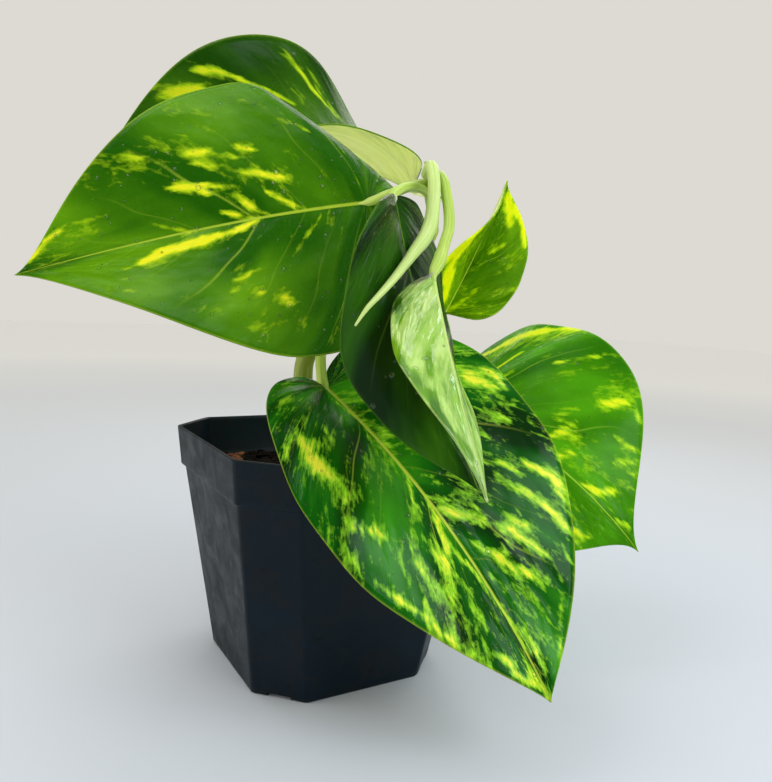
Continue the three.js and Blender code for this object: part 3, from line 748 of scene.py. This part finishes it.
def blade_sheet(leaf):
    """The blade's middle surface: points, triangles, normals, and where its corners lie when flat."""
    ne, nv = BLADE["edge_steps"], BLADE["vein_steps"]
    edge, vein = np.meshgrid(np.linspace(0, 1, ne + 1), np.linspace(0, 1, nv + 1), indexing="ij")
    points, flats, veins, grids = [], [], [], []
    for hand in (1, -1):
        second = 0 if hand > 0 else 1
        flat = flat_half(leaf, hand, edge, vein)
        points.append(bend_half(leaf, flat, hand).reshape(-1, 3))
        flats.append((flat * (1, hand)).reshape(-1, 2) * leaf["length"])
        veins.append(np.stack([edge + 2 * second, vein], -1).reshape(-1, 2))
        index = np.arange(edge.size).reshape(edge.shape) + edge.size * second
        quad = np.stack([index[:-1, :-1], index[1:, :-1], index[1:, 1:], index[:-1, 1:]], -1)
        quad = quad.reshape(-1, 4)
        tris = np.vstack([quad[:, [0, 1, 2]], quad[:, [0, 2, 3]]])
        grids.append(tris[:, ::-1] if second else tris)
    points, flats, veins, corners = map(np.vstack, (points, flats, veins, grids))
    keys = np.round(np.column_stack([flats, points]) * 1e4).astype(np.int64)
    _, first, shared = np.unique(keys, axis=0, return_index=True, return_inverse=True)
    faces = shared.ravel()[corners]
    whole = (faces != np.roll(faces, 1, axis=1)).all(axis=1)
    corners, faces = corners[whole], faces[whole]
    a, b, c = (points[first][faces[:, k]] for k in range(3))
    normals = np.zeros((len(first), 3))
    for k in range(3):
        np.add.at(normals, faces[:, k], np.cross(b - a, c - a))
    normals /= np.linalg.norm(normals, axis=1)[:, None]
    return points[first], faces, normals, flats[first], veins[first], corners, flats, veins


def leaf_slot(name):
    return "young_leaf" if name == "leaf_4" else "leaf"


def blade_piece(name, leaf, finishes):
    sheet, faces, normals, flat, vein, corners, flats, veins = blade_sheet(leaf)
    x, y = flat[:, 0] / leaf["length"], np.abs(flat[:, 1])
    fade = np.clip(1.05 - x, 0.05, 1)
    groove = -BLADE["groove"][0] * fade * bell(y, BLADE["groove"][1])
    ridge = BLADE["ridge"][0] * fade * bell(y, BLADE["ridge"][1]) * np.clip((x + 0.03) / 0.05, 0, 1)
    from_base = np.hypot(flat[:, 0], flat[:, 1])
    fade_in = np.clip((from_base - 8) / 22, 0, 1) * np.clip(vein[:, 1] * 3, 0, 1)
    waves = np.cos(2 * math.pi * (vein[:, 0] % 2) * leaf["veins"])
    quilt = -BLADE["quilt"] * np.maximum(waves * fade_in * np.clip((1 - vein[:, 1]) * 4, 0, 1), -0.5)
    half = BLADE["thickness"] / 2
    upper = sheet + normals * (half + groove + quilt)[:, None]
    lower = sheet - normals * (half + ridge - quilt)[:, None]
    count = len(sheet)
    sides, side_corners = (
        np.vstack([rows[:, [0, 1]], rows[:, [1, 2]], rows[:, [2, 0]]]) for rows in (faces, corners))
    lone = ~np.isin(sides[:, 0] * count + sides[:, 1], sides[:, 1] * count + sides[:, 0])
    (a, b), (from_a, from_b) = sides[lone].T, side_corners[lone].T
    rim_faces, rim_from = (
        np.vstack([np.column_stack(first), np.column_stack(second)]) for first, second in (
            ((b, a, a + count), (b, a + count, b + count)),
            ((from_b, from_a, from_a), (from_b, from_a, from_b))))
    all_faces = np.vstack([faces, faces[:, ::-1] + count, rim_faces])
    source = np.vstack([corners, corners[:, ::-1], rim_from]).ravel()
    finish_of = np.repeat([0, 1, 0], [len(faces), len(faces), len(rim_faces)])
    marks = blade_marks(name, leaf, flats)
    make_piece(
        name + "_blade", np.vstack([upper, lower]) @ turn_to_pot.T, all_faces, finishes,
        leaf_slot(name), name, finish_of=finish_of,
        layers={"veins": veins[source], "flat": flats[source] / 100, "marks": marks[source]})


# Where the yellow lies on each blade, as short strokes on the flat leaf: from x, y to x, y in millimetres
# from the base, half width and strength. Then broad places painted darker and lighter, mostly painted
# light and shade and partly the blade's own darker and lighter green: x, y, radius and shift.
FLECKS = {
    "leaf_1": [
        (56, -26.8, 26.5, -11.1, 4.3, 0.2), (77.4, 8.1, 51.6, 5.1, 3.3, 0.2),
        (108.2, -4, 87.6, -7.5, 3, 0.18), (61.4, -14.8, 41.1, -10.1, 3, 0.15),
        (45.1, 17.7, 37.7, 41, 3.9, 0.15), (32.3, 27, 24.7, 38.6, 3.9, 0.15),
        (76.6, 7.6, 68.6, 5.4, 1.3, 0.9), (70.4, 5.1, 54.9, 4.4, 1.6, 0.85),
        (56.7, 4.2, 42.8, 2.8, 1.3, 0.75), (42.8, 2.8, 36.5, 0.4, 1.1, 0.75),
        (62.2, -15.4, 53, -13.4, 1.3, 0.9), (53.4, -12, 48.6, -10.2, 0.7, 0.8),
        (53.3, -14.6, 45.4, -11.9, 0.7, 0.6), (39.6, -25.5, 35.7, -23.2, 1.1, 0.75),
        (43.7, -22.8, 41, -22.1, 0.7, 0.7), (55.1, -22.5, 47.8, -19.1, 1, 0.6),
        (56.2, -26, 49.8, -25.5, 1.3, 0.5), (38.3, -16.2, 26.2, -11.7, 1, 0.65),
        (33.2, -8.5, 23, -1.1, 0.5, 0.75), (41.7, -7.7, 34.8, -1.3, 0.7, 0.65),
        (47.7, -4.1, 42.8, -2.2, 0.5, 0.75), (70.4, -4.6, 58.6, 0.5, 0.7, 0.65),
        (105.4, -7.6, 99.1, -10, 1.1, 0.75), (111.9, -2.7, 105.6, -7.2, 0.6, 0.5),
        (29.6, 30.5, 27.2, 31.7, 1.5, 0.8), (29.6, 26.8, 28.8, 28.1, 0.7, 0.75),
        (38, 26.1, 36.8, 28.1, 1, 0.6), (44.4, 21.7, 38, 18.6, 1, 0.5),
        (48.4, 25.9, 45.5, 25.2, 0.8, 0.45), (41.5, 39.5, 38.9, 40, 0.7, 0.45),
        (32.4, 39.2, 30.4, 38.7, 1, 0.35), (82.4, 17.7, 79.7, 18.2, 1, 0.6),
        (81.9, 12.7, 80.7, 12.9, 0.6, 0.5), (16.4, 2.8, 20.1, 9.6, 0.5, 0.45),
        (18.7, 5.9, 24.5, 14.8, 0.5, 0.35), (27.1, -34.8, 24.5, -32.4, 0.6, 0.45),
        (19.6, -30.1, 16.6, -28, 0.4, 0.45), (96.2, -11, 82.8, -11.4, 0.7, 0.3),
        (84.1, 8.5, 80.1, 8.8, 0.5, 0.4), (73.8, 10.8, 68.9, 9.4, 0.5, 0.35),
        (76, -29.3, 70, -27, 0.5, 0.3)],
    "leaf_2": [
        (106, -14.1, 86.5, -22.2, 3.9, 0.22), (93.4, -25.8, 70.3, -23.2, 2.6, 0.2),
        (66.4, -45.2, 42.2, -37.7, 3, 0.18), (103.4, -16.1, 92, -18.1, 2.1, 0.6),
        (101.8, -12.9, 90.7, -18.4, 1.1, 0.8), (93.5, -25, 89.1, -24.9, 1.3, 0.85),
        (90.1, -26.1, 76.9, -25.1, 0.8, 0.65), (77.6, -24.6, 70.6, -24.3, 0.7, 0.5),
        (70.6, -24.3, 58.5, -23.4, 0.9, 0.75), (66.4, -44.4, 60.4, -40.8, 1.1, 0.75),
        (60.4, -40.8, 52.3, -36.7, 1.2, 0.7), (56.4, -44.8, 52, -40.3, 0.8, 0.55),
        (52.2, -37.4, 43.4, -36.6, 1.1, 0.6), (47.6, -39.3, 41, -38, 1, 0.4),
        (98.4, -27.6, 94.4, -28.6, 1, 0.35), (120.5, -5.4, 114.9, -7.3, 0.7, 0.35),
        (109.2, -17.7, 105.6, -19.7, 0.8, 0.35)],
    "leaf_3": [(41, 18, 45, 14, 1.6, 0.5)],
    "leaf_4": [
        (5.2, -11.6, 13.1, -11.7, 1.1, -0.6), (20.5, -14.2, 31.4, -13.9, 1.3, -0.6),
        (31.8, -11.3, 38.1, -12.4, 1.5, -0.55), (38.8, -9.6, 47.7, -8.6, 1.5, -0.6),
        (47.7, -8.6, 55.1, -2.5, 1.3, -0.55), (26.1, -6.1, 32.6, -7.3, 0.7, -0.4),
        (59, -2.6, 65.2, -0.3, 0.7, -0.5)],
    "leaf_6": [
        (6.2, 7.9, 28.7, 9.5, 3.9, 0.18), (14, 20, 26.4, 17, 2, 0.75),
        (8.7, 11.6, 21.7, 17, 2.3, 0.8), (2.5, 5.5, 12.3, 10.3, 2, 0.8),
        (26.6, 18.5, 34.1, 16.5, 1.3, 0.6), (53.7, -2.8, 44.3, -7.5, 1.6, 0.85),
        (50.6, -6, 47.8, -11.4, 1.6, 0.8), (47.8, -11.4, 38.2, -16.8, 1.1, 0.75),
        (30.1, -5.6, 36, -9.3, 0.7, 0.35), (7.1, -4.5, 12.3, -7.7, 0.7, 0.35),
        (1, -1, 7.1, -4.5, 1, 0.3)],
    "leaf_7": [
        (-7.8, 28.4, 26, 58.8, 3, 0.2), (56.6, 33.1, 65.1, 49.1, 3, 0.15),
        (51.3, 11.9, 66.9, 21.6, 3, 0.15), (37.2, 19.1, 60.1, 13.3, 4.6, 0.12),
        (-14.5, 29.6, -0.9, 41.1, 2, 0.85), (-4.8, 39.7, 11.3, 51.5, 2, 0.85),
        (9, 50.8, 21, 58.1, 1.1, 0.6), (5.1, 20.6, 10.5, 35.6, 1, 0.55),
        (13.1, 19.6, 14.9, 25.3, 1.3, 0.5), (29.1, 36.8, 31, 40.2, 0.8, 0.75),
        (39, 49.1, 41.3, 52.3, 0.8, 0.45), (30.8, 39, 41.6, 51.6, 0.7, 0.3),
        (57.1, 34.4, 63.4, 43.4, 1.2, 0.85), (67, 43, 72.8, 40, 1.1, 0.7),
        (62.6, 49.3, 65.8, 47.7, 0.8, 0.6), (50.8, 7.4, 54.1, 12.7, 1, 0.7),
        (52.7, 11.4, 55, 21.8, 1, 0.4), (45.9, 18.1, 50.3, 25.1, 1.3, 0.35),
        (59.1, 2.4, 62.4, 8.3, 1.3, 0.7), (75.5, 1.3, 79.5, 3.8, 1, 0.7),
        (79.4, 1.8, 84.6, 8.7, 1.3, 0.75), (69.6, 26.7, 73.1, 30.4, 0.7, 0.5),
        (73.3, 26.2, 78.8, 29.9, 0.7, 0.4), (77.1, 18.3, 83.2, 25.9, 1.3, 0.4),
        (93.2, 1.2, 98.3, 3.8, 1, 0.6), (83, -14.4, 87, -13.5, 1, 0.5),
        (87.8, -16.8, 90.2, -11.3, 1, 0.4), (21.3, 57.7, 26, 58.8, 1, 0.5)],
    "leaf_8": [
        (8.7, 1.2, 13.8, 9.1, 1.6, 0.33), (13.1, -1.5, 26.9, 5.7, 2, 0.35),
        (6.5, -7.6, 13.1, -1.5, 1.3, 0.35), (25, 2.6, 43.5, -0.3, 1.1, 0.31),
        (43.2, -1.9, 50.6, -7.6, 0.8, 0.47), (50.5, -8.3, 62.9, -18.8, 1, 0.43),
        (62.9, -18.8, 69.8, -20.8, 1.1, 0.39), (52.4, -1.8, 60.1, -1.7, 1.1, 0.58),
        (59.7, -3.7, 72.2, -8.8, 1.6, 0.66), (68.5, -5.1, 76.5, -3.1, 1.6, 0.58),
        (71.7, -10.5, 83.1, -15.1, 1.3, 0.47), (77.1, -2.2, 91.9, -0.3, 1, 0.43),
        (77.2, -10.4, 83.3, -8.2, 1.3, 0.35), (91.9, -0.3, 107.6, 1.3, 1.3, 0.39),
        (98.7, 3.5, 114.6, 2.5, 1.3, 0.39), (112.1, -2.2, 121.2, -0.2, 1.5, 0.58),
        (16.6, -32.1, 22.9, -24.4, 2, 0.35), (20.2, -32.5, 27.3, -32.3, 2.3, 0.47),
        (25, -31.1, 31.1, -29.6, 2, 0.58), (17.9, -22.4, 21.8, -21.8, 1, 0.39),
        (2.1, -29.4, 2.9, -24.5, 1.1, 0.39), (3, -34, 4.1, -30.9, 1, 0.23),
        (-2.8, -23.6, -3.4, -17.3, 0.8, 0.23), (13.2, -31.2, 18.2, -32.3, 1.3, 0.27),
        (15.1, -37.2, 19.8, -38.4, 1, 0.31), (32.6, -29.4, 35.5, -27.5, 1.3, 0.23),
        (36.7, -30.6, 41.2, -29.7, 1.3, 0.35), (41.4, -27.7, 40.3, -24, 1, 0.31),
        (45.8, -33.6, 49.5, -33.1, 1.3, 0.47), (49.6, -31.1, 53.5, -27.8, 1.5, 0.55),
        (53, -27.4, 56.7, -24.6, 1.3, 0.39), (56.4, -37.8, 58.3, -36.7, 1, 0.47),
        (61.6, -37.8, 66.9, -34.7, 0.7, 0.39), (74.1, -30.9, 85.8, -25.6, 1.1, 0.47),
        (69.3, -33.7, 75.6, -30.8, 0.8, 0.39), (77.8, -25.5, 82.7, -23.9, 1.3, 0.31),
        (89.2, -24.8, 93.3, -21.4, 1.3, 0.47), (95.2, -22, 101.9, -16.3, 1, 0.31),
        (103, -11.1, 108.5, -6.6, 1.6, 0.47), (111, -7.8, 116.2, -3, 1, 0.47),
        (65.7, -25.7, 73.7, -25.9, 1.3, 0.27), (71, -19.3, 80.9, -20, 1.6, 0.27),
        (84.9, -11.5, 96.1, -8.9, 1.3, 0.23), (65.6, -12.7, 70.7, -12.6, 1.3, 0.27),
        (17.3, 45.5, 21.4, 49.2, 1, 0.23), (21.9, 39.2, 28.9, 46.3, 1.3, 0.39),
        (27.8, 41.2, 35.7, 46.7, 2, 0.66), (29, 48.8, 35, 50.7, 1.3, 0.55),
        (39.5, 35.1, 45.5, 41.2, 1, 0.51), (32.5, 49.4, 40.5, 50.2, 0.8, 0.39),
        (55.9, 28.5, 61.5, 32.3, 1.1, 0.39), (60.6, 36.1, 64.9, 38.7, 1.3, 0.58),
        (64.3, 38.4, 70.2, 40.8, 1.6, 0.47), (68.7, 40.9, 76.1, 40.4, 2.1, 0.66),
        (74.4, 32.7, 83.1, 34.2, 1.6, 0.55), (62.3, 48.5, 66.7, 46.8, 1, 0.35),
        (58.6, 24.3, 68.7, 30.5, 1.1, 0.39), (64.7, 25.6, 74.4, 32.7, 1, 0.35),
        (52.1, 0.9, 60.9, 11.4, 1, 0.39), (56.7, 1.7, 65.5, 11.3, 1.6, 0.39),
        (61.6, 4.3, 67.7, 10.3, 1.5, 0.43), (68.1, 12, 75.4, 18.4, 1.3, 0.39),
        (70.3, 18.9, 77.5, 23.4, 1, 0.35), (74.7, 17.3, 81.6, 19.8, 1.3, 0.39),
        (71.9, 2.9, 78.5, 9.6, 1, 0.35), (79.4, 7.3, 89.4, 14.2, 1.1, 0.47),
        (87, 13.3, 94.1, 16.5, 1.1, 0.51), (82.5, 20.9, 89.3, 24.4, 1, 0.35),
        (84.9, 29.9, 91.5, 28.5, 1, 0.39), (99.9, 18.4, 114, 8.3, 0.8, 0.43),
        (82.9, 2.6, 92.6, 7.8, 1.3, 0.2), (73.3, 14.2, 77.8, 15.8, 1.6, 0.31),
        (52.6, 13.7, 58.1, 17.9, 1.3, 0.23), (41.3, 3.2, 50.1, 6.8, 1, 0.27),
        (95, 21.9, 100.4, 19.9, 1, 0.31), (96.5, 12, 109.2, 11.1, 1.3, 0.2)],
}
# Painted light and shade on each blade, with some of its own darker and lighter green among them
PAINTED_LIGHT_AND_SHADE = {
    "leaf_1": [
        (81, 10, 20, 0.35), (51, 24, 13, 0.3), (47, -39, 15, 0.25), (97, -9, 13, 0.2),
        (18, 36, 13, -0.45), (2, -18, 13, -0.35), (44, 15, 6, -0.4), (23, 11, 10, -0.3),
        (82, -19, 10, -0.25), (7, 20, 13, -0.3), (12, -31, 7, -0.25), (45, -6, 8, -0.1)],
    "leaf_2": [(71, -32, 13, -0.35), (110, -14, 8, -0.1), (95, -19, 8, 0.35), (59, -50, 5, -0.2)],
    "leaf_3": [
        (21, -15, 7, 0.2), (5, 1, 5, -0.3), (46, -19, 13, -0.1), (75, -11, 10, 0.25),
        (61, -16, 10, -0.15), (33, -26, 7, 0.1)],
    "leaf_4": [
        (6, -11, 4, -0.5), (34, -13, 4, -0.5), (43, -8, 4, -0.5), (17, -9, 5, 0.5), (21, -5, 4, 0.3)],
    "leaf_6": [(26, -14, 7, -0.3), (11, -15, 7, 0.05), (30, -2, 4, 0.1)],
    "leaf_7": [(50, 55, 8, -0.35), (18, 41, 8, 0.1), (81, -2, 16, 0.2), (40, 28, 10, 0.15)],
    "leaf_8": [
        (12, -15, 10, 0.5), (3, -21, 9, 0.45), (7, 3, 7, 0.4), (48, 44, 11, -0.5),
        (52, 17, 8, -0.6), (9, -16, 8, -0.5), (7, -34, 7, 0.1), (40, -15, 13, 0.1),
        (20, -14, 8, -0.3), (54, -18, 7, 0.1)],
}

def blade_marks(name, leaf, flats):
    """Yellow flecks, and the painted light and shade, of each corner of a blade, before the fine streaks.
    """
    yellow, light = np.zeros(len(flats)), np.zeros(len(flats))
    for x0, y0, x1, y1, wide, amount in FLECKS[name]:
        start, run = np.array((x0, y0)), np.array((x1 - x0, y1 - y0))
        share = np.clip((flats - start) @ run / max(run @ run, 0.01), 0, 1)
        gap = np.linalg.norm(flats - start - share[:, None] * run, axis=1)
        yellow += amount * bell(gap, max(wide, 0.8))
    for x, y, radius, shift in PAINTED_LIGHT_AND_SHADE[name]:
        light += shift * bell(np.hypot(flats[:, 0] - x, flats[:, 1] - y), radius)
    return np.column_stack([leaf["flecks"] + np.clip(yellow, -1, 0.95), light])


# Greens and yellows of a blade's upper face: dark, plain and fresh green, the halo round a fleck, the
# fleck, and the midrib. Then how strongly the yellow follows broad bands, fibres, fine fibres and
# grain, and last the specular level and the roughness of the face.
STREAKY, GLOSSY = (0.7, 0.9, 0.8, 0.4), (0.08, 0.24)
LOOKS = {
    "bright": (("1e5600", "3e7402", "5c9106", "92b60c", "dede1e", "a5be32"), STREAKY, GLOSSY),
    "deep": (("184100", "2d5b02", "457406", "8ab00c", "cad119", "8aa827"), STREAKY, GLOSSY),
    "olive": (
        ("082804", "1a4403", "33660a", "6a9418", "a0b030", "5c8424"), (0.5, 0.5, 0.3, 0.3), (0.12, 0.2)),
    "young": (
        ("3f7504", "6ca212", "91bf36", "afd36c", "d2e59e", "bfd578"), (0.8, 0.5, 0.3, 0.15), (1.0, 0.15)),
    "spring": (
        ("437600", "5b8c04", "73a606", "a6cb0a", "e2ee0c", "b1cd2d"), (0.8, 0.9, 0.8, 0.4), (0.05, 0.26)),
    "fresh": (("286a01", "3d8203", "52a00a", "93c40f", "d3df1d", "93c031"), STREAKY, (0.06, 0.24)),
    "mottled": (
        ("032b02", "0b5a04", "3c9212", "86c423", "e4e63a", "b6c83c"), (0.5, 1.0, 1.15, 0.6), (0.11, 0.2)),
}
# Two sizes of drops left from watering: cells to a tenth of a metre, and the largest radius in cells
DROPS = ((15, 0.15), (30, 0.24))


def water_drops(finish, flat, wet):
    """A dark ring round each drop, painted shade for the dark edge a clear drop shows, and a dome
    from 0 to 1 for gloss and relief.
    """
    rings, domes = 0.0, 0.0
    for (scale, radius), share in zip(DROPS, wet):
        cells = finish.add("TexVoronoi", {"Vector": flat, "Scale": scale}, feature="F1")
        chance = finish.add("SeparateColor", {0: cells["Color"]})
        there = finish.maths("LESS_THAN", chance[0], share)
        size = finish.maths("MULTIPLY_ADD", chance[1], radius * 0.6, radius * 0.4)
        reach = finish.maths("DIVIDE", cells["Distance"], size)
        dome = finish.ramp(reach, (0.0, 1.0), (0.6, 0.8), (0.9, 0.4), (1.0, 0.0))
        ring = finish.ramp(reach, (0.6, 0.0), (0.9, 0.6), (1.0, 0.6), (1.15, 0.0))
        domes = finish.maths("ADD", domes, finish.maths("MULTIPLY", dome, there), clamp=True)
        rings = finish.maths("ADD", rings, finish.maths("MULTIPLY", ring, there), clamp=True)
    return rings, domes


def vein_waves(finish, place, count):
    """From 1 on a vein down to -1 between two, for a number of veins to a half."""
    return finish.maths("COSINE", finish.maths("MULTIPLY", place, count * 2 * math.pi))


def blade_finish(name, leaf):
    colours, shares, (gloss, roughness) = LOOKS[leaf["look"]]
    dark, plain, fresh, halo, fleck, rib = colours
    finish = Finish(
        name + "_upper", roughness=roughness, specular_ior_level=gloss, subsurface_weight=0.3,
        subsurface_scale=0.002, subsurface_radius=(0.5, 1.0, 0.15), coat_roughness=0.05, coat_ior=1.6)
    maths, ramp, blend = finish.maths, finish.ramp, finish.blend
    veins, flat = finish.layer("veins"), finish.layer("flat")
    marks = finish.split(finish.layer("marks"))
    across_veins, out_along_vein = finish.split(veins)[:2]
    along_rib, off_rib = finish.split(flat)[:2]

    def streaks(across, along, detail, roughness, distortion=0.0):
        laid = finish.stretch(veins, across, along, 7.3 * int(name[-1]))
        return finish.noise(laid, 1, detail, roughness, distortion)

    # Flecks over three greens
    fine = streaks(120, 9, 3, 0.65, 0.4)
    grain = finish.noise(flat, 40, 4, 0.65)
    yellow = marks["X"]
    patterns = (streaks(13, 1.6, 2, 0.5), streaks(42, 3.4, 3, 0.6, 0.3), fine, grain)
    for pattern, share in zip(patterns, shares):
        yellow = maths("MULTIPLY_ADD", maths("SUBTRACT", pattern, 0.5), share, yellow)
    green_mix = maths("MULTIPLY_ADD", maths("SUBTRACT", streaks(8, 1.1, 3, 0.6), 0.5), 1.7, 0.5)
    # The second mark is the painted light and shade, which shifts the green lighter or darker
    green_mix = maths("ADD", green_mix, marks["Y"])
    bent = maths("MULTIPLY_ADD", streaks(3, 1.5, 1, 0.5), 0.06, across_veins)
    main_wave = vein_waves(finish, bent, leaf["veins"])
    side_wave = vein_waves(finish, bent, 3 * leaf["veins"])
    # Darker green along each side vein: partly the blade's own colour there, partly painted shade of the
    # vein's crease
    green_mix = maths("SUBTRACT", green_mix, ramp(main_wave, (0.3, 0.0), (0.95, 0.3)))
    colour = ramp(green_mix, (0.1, dark), (0.5, plain), (0.9, fresh))
    colour = blend(ramp(yellow, (0.36, 0.0), (0.68, 1.0)), colour, halo)
    colour = blend(ramp(yellow, (0.66, 0.0), (1.0, 1.0)), colour, fleck)

    # Veins, midrib and the pale rim
    reach = finish.add("VectorMath", {0: flat}, operation="LENGTH")["Value"]
    vein_line = maths("ADD", ramp(main_wave, (0.997, 0.0), (0.9998, 0.28)),
                      ramp(side_wave, (0.985, 0.0), (0.999, 0.12)))
    vein_line = maths("MULTIPLY", vein_line, ramp(out_along_vein, (0.5, 1.0), (0.93, 0.0)))
    vein_line = maths("MULTIPLY", vein_line, ramp(reach, (0.06, 0.15), (0.3, 1.0)))
    rib_half = maths("MULTIPLY_ADD", along_rib, -70 * leaf["rib"] / leaf["length"], leaf["rib"])
    off = maths("DIVIDE", maths("ABSOLUTE", off_rib), rib_half)
    rib_mask = maths("SUBTRACT", 1.0, off, clamp=True)
    colour = blend(vein_line, colour, rib)
    colour = blend(ramp(rib_mask, (0.0, 0.0), (0.6, 0.9)), colour, rib)
    colour = blend(ramp(out_along_vein, (0.988, 0.0), (0.998, 0.35)), colour, rib)

    # Relief, then the drops over it as a wet coat
    swell = maths("ADD", main_wave, maths("MULTIPLY", streaks(22, 3, 2, 0.5), 3.0))
    puckers = finish.bump(swell, 0.0007, 0.7)
    relief = maths("MULTIPLY_ADD", vein_line, -1.2, fine)
    # The drops' rings darken the colour as painted shade of their edges; the domes make the wet coat
    rings, domes = water_drops(finish, flat, leaf["wet"])
    finish.link(
        base_color=blend(rings, colour, "1c3a06"),
        roughness=ramp(grain, (0.3, 0.9 * roughness), (0.7, 1.3 * roughness)),
        normal=finish.bump(relief, 0.00018, 0.5, puckers),
        coat_weight=domes,
        coat_normal=finish.bump(domes, 0.0009, 1.0, puckers))
    return finish


underside = Finish(
    "blade_underside", roughness=0.5, specular_ior_level=0.25, subsurface_weight=0.8,
    subsurface_scale=0.004, subsurface_radius=(0.9, 1.0, 0.4))
veins = underside.layer("veins")
cloud = underside.noise(underside.stretch(veins, 36, 2.4), 1, 4, 0.6)
colour = underside.ramp(cloud, (0.3, "b9ca84"), (0.5, "cad79a"), (0.7, "d9e4b0"))
wave = vein_waves(underside, underside.split(veins)["X"], 7)
raised = underside.ramp(wave, (0.8, 0.0), (1.0, 1.0))
line = underside.ramp(wave, (0.975, 0.0), (0.995, 0.6))
underside.link(
    base_color=underside.blend(line, colour, "dceab0"),
    normal=underside.bump(raised, 0.0004, 0.7))
for name, leaf in LEAVES.items():
    blade_piece(name, leaf, [blade_finish(name, leaf), underside])


# Leaf stalks: round fleshy stalks, grooved along the upper side, that swell into a joint just below the
# blade. They leave the vine or the soil and run on into the midrib.
JOINT = {"height": 0.22, "place": 0.84, "width": 0.09}
INTO_BLADE = {"shares": (0, 0.035), "below": 0.6, "step": 0.01}

stalk_skin = stem_finish("stalk_skin", ("cfdc7d", "a9c64f", "7fa632", "8c7a3c"), 0.7)
for name, leaf in LEAVES.items():
    ends = []
    for x in INTO_BLADE["shares"]:
        step = INTO_BLADE["step"]
        place, ahead, left, right = (
            bend_half(leaf, np.array(flat), hand)
            for flat, hand in (((x, 0), 1), ((x + step, 0), 1), ((x, step), 1), ((x, step), -1)))
        upward = np.cross(ahead - place, left - right)
        ends.append(tuple(place - INTO_BLADE["below"] * upward / np.linalg.norm(upward)))
    path = [*leaf["stalk"], *ends]
    radius = leaf["stalk_radius"]
    radii = [radius] * (len(path) - 2) + [radius * 0.85, 0.5]

    def joint(at):
        return JOINT["height"] * radius * bell(at - JOINT["place"], JOINT["width"])

    stem_piece(name + "_stalk", path, radii, stalk_skin, leaf_slot(name), name,
               count=110, swell=joint, groove=0.12)


# Rolled leaf: the next blade, still wound round itself into a pale green spear, with the free edge
# showing as a low ridge along it down to the point.
SPEAR = {
    "path": [
        (31.8, -43, 184), (32.8, -50, 185.2), (33.6, -54.5, 181), (33.8, -57, 176.5),
        (33.6, -59, 171), (33, -61, 166), (31.4, -64, 161.8), (28.4, -69, 157.3),
        (25.5, -76.5, 152.8), (22.4, -82.5, 148.3), (19, -86.5, 144), (15.7, -89, 140),
        (12.8, -90.5, 135.3)],
    "radii": [1.9, 1.95, 1.95, 2, 2.1, 2.35, 2.2, 1.75, 1.4, 1.2, 0.95, 0.7, 0.3],
}
spear_skin = stem_finish("rolled_leaf_skin", ("d8e6a0", "bfd77c", "9cc052", "7d9a3c"), 0.74)
stem_piece("rolled_leaf", SPEAR["path"], SPEAR["radii"], spear_skin, "rolled_leaf", "leaf_5_rolled",
           count=150, sides=28, keel=0.1)
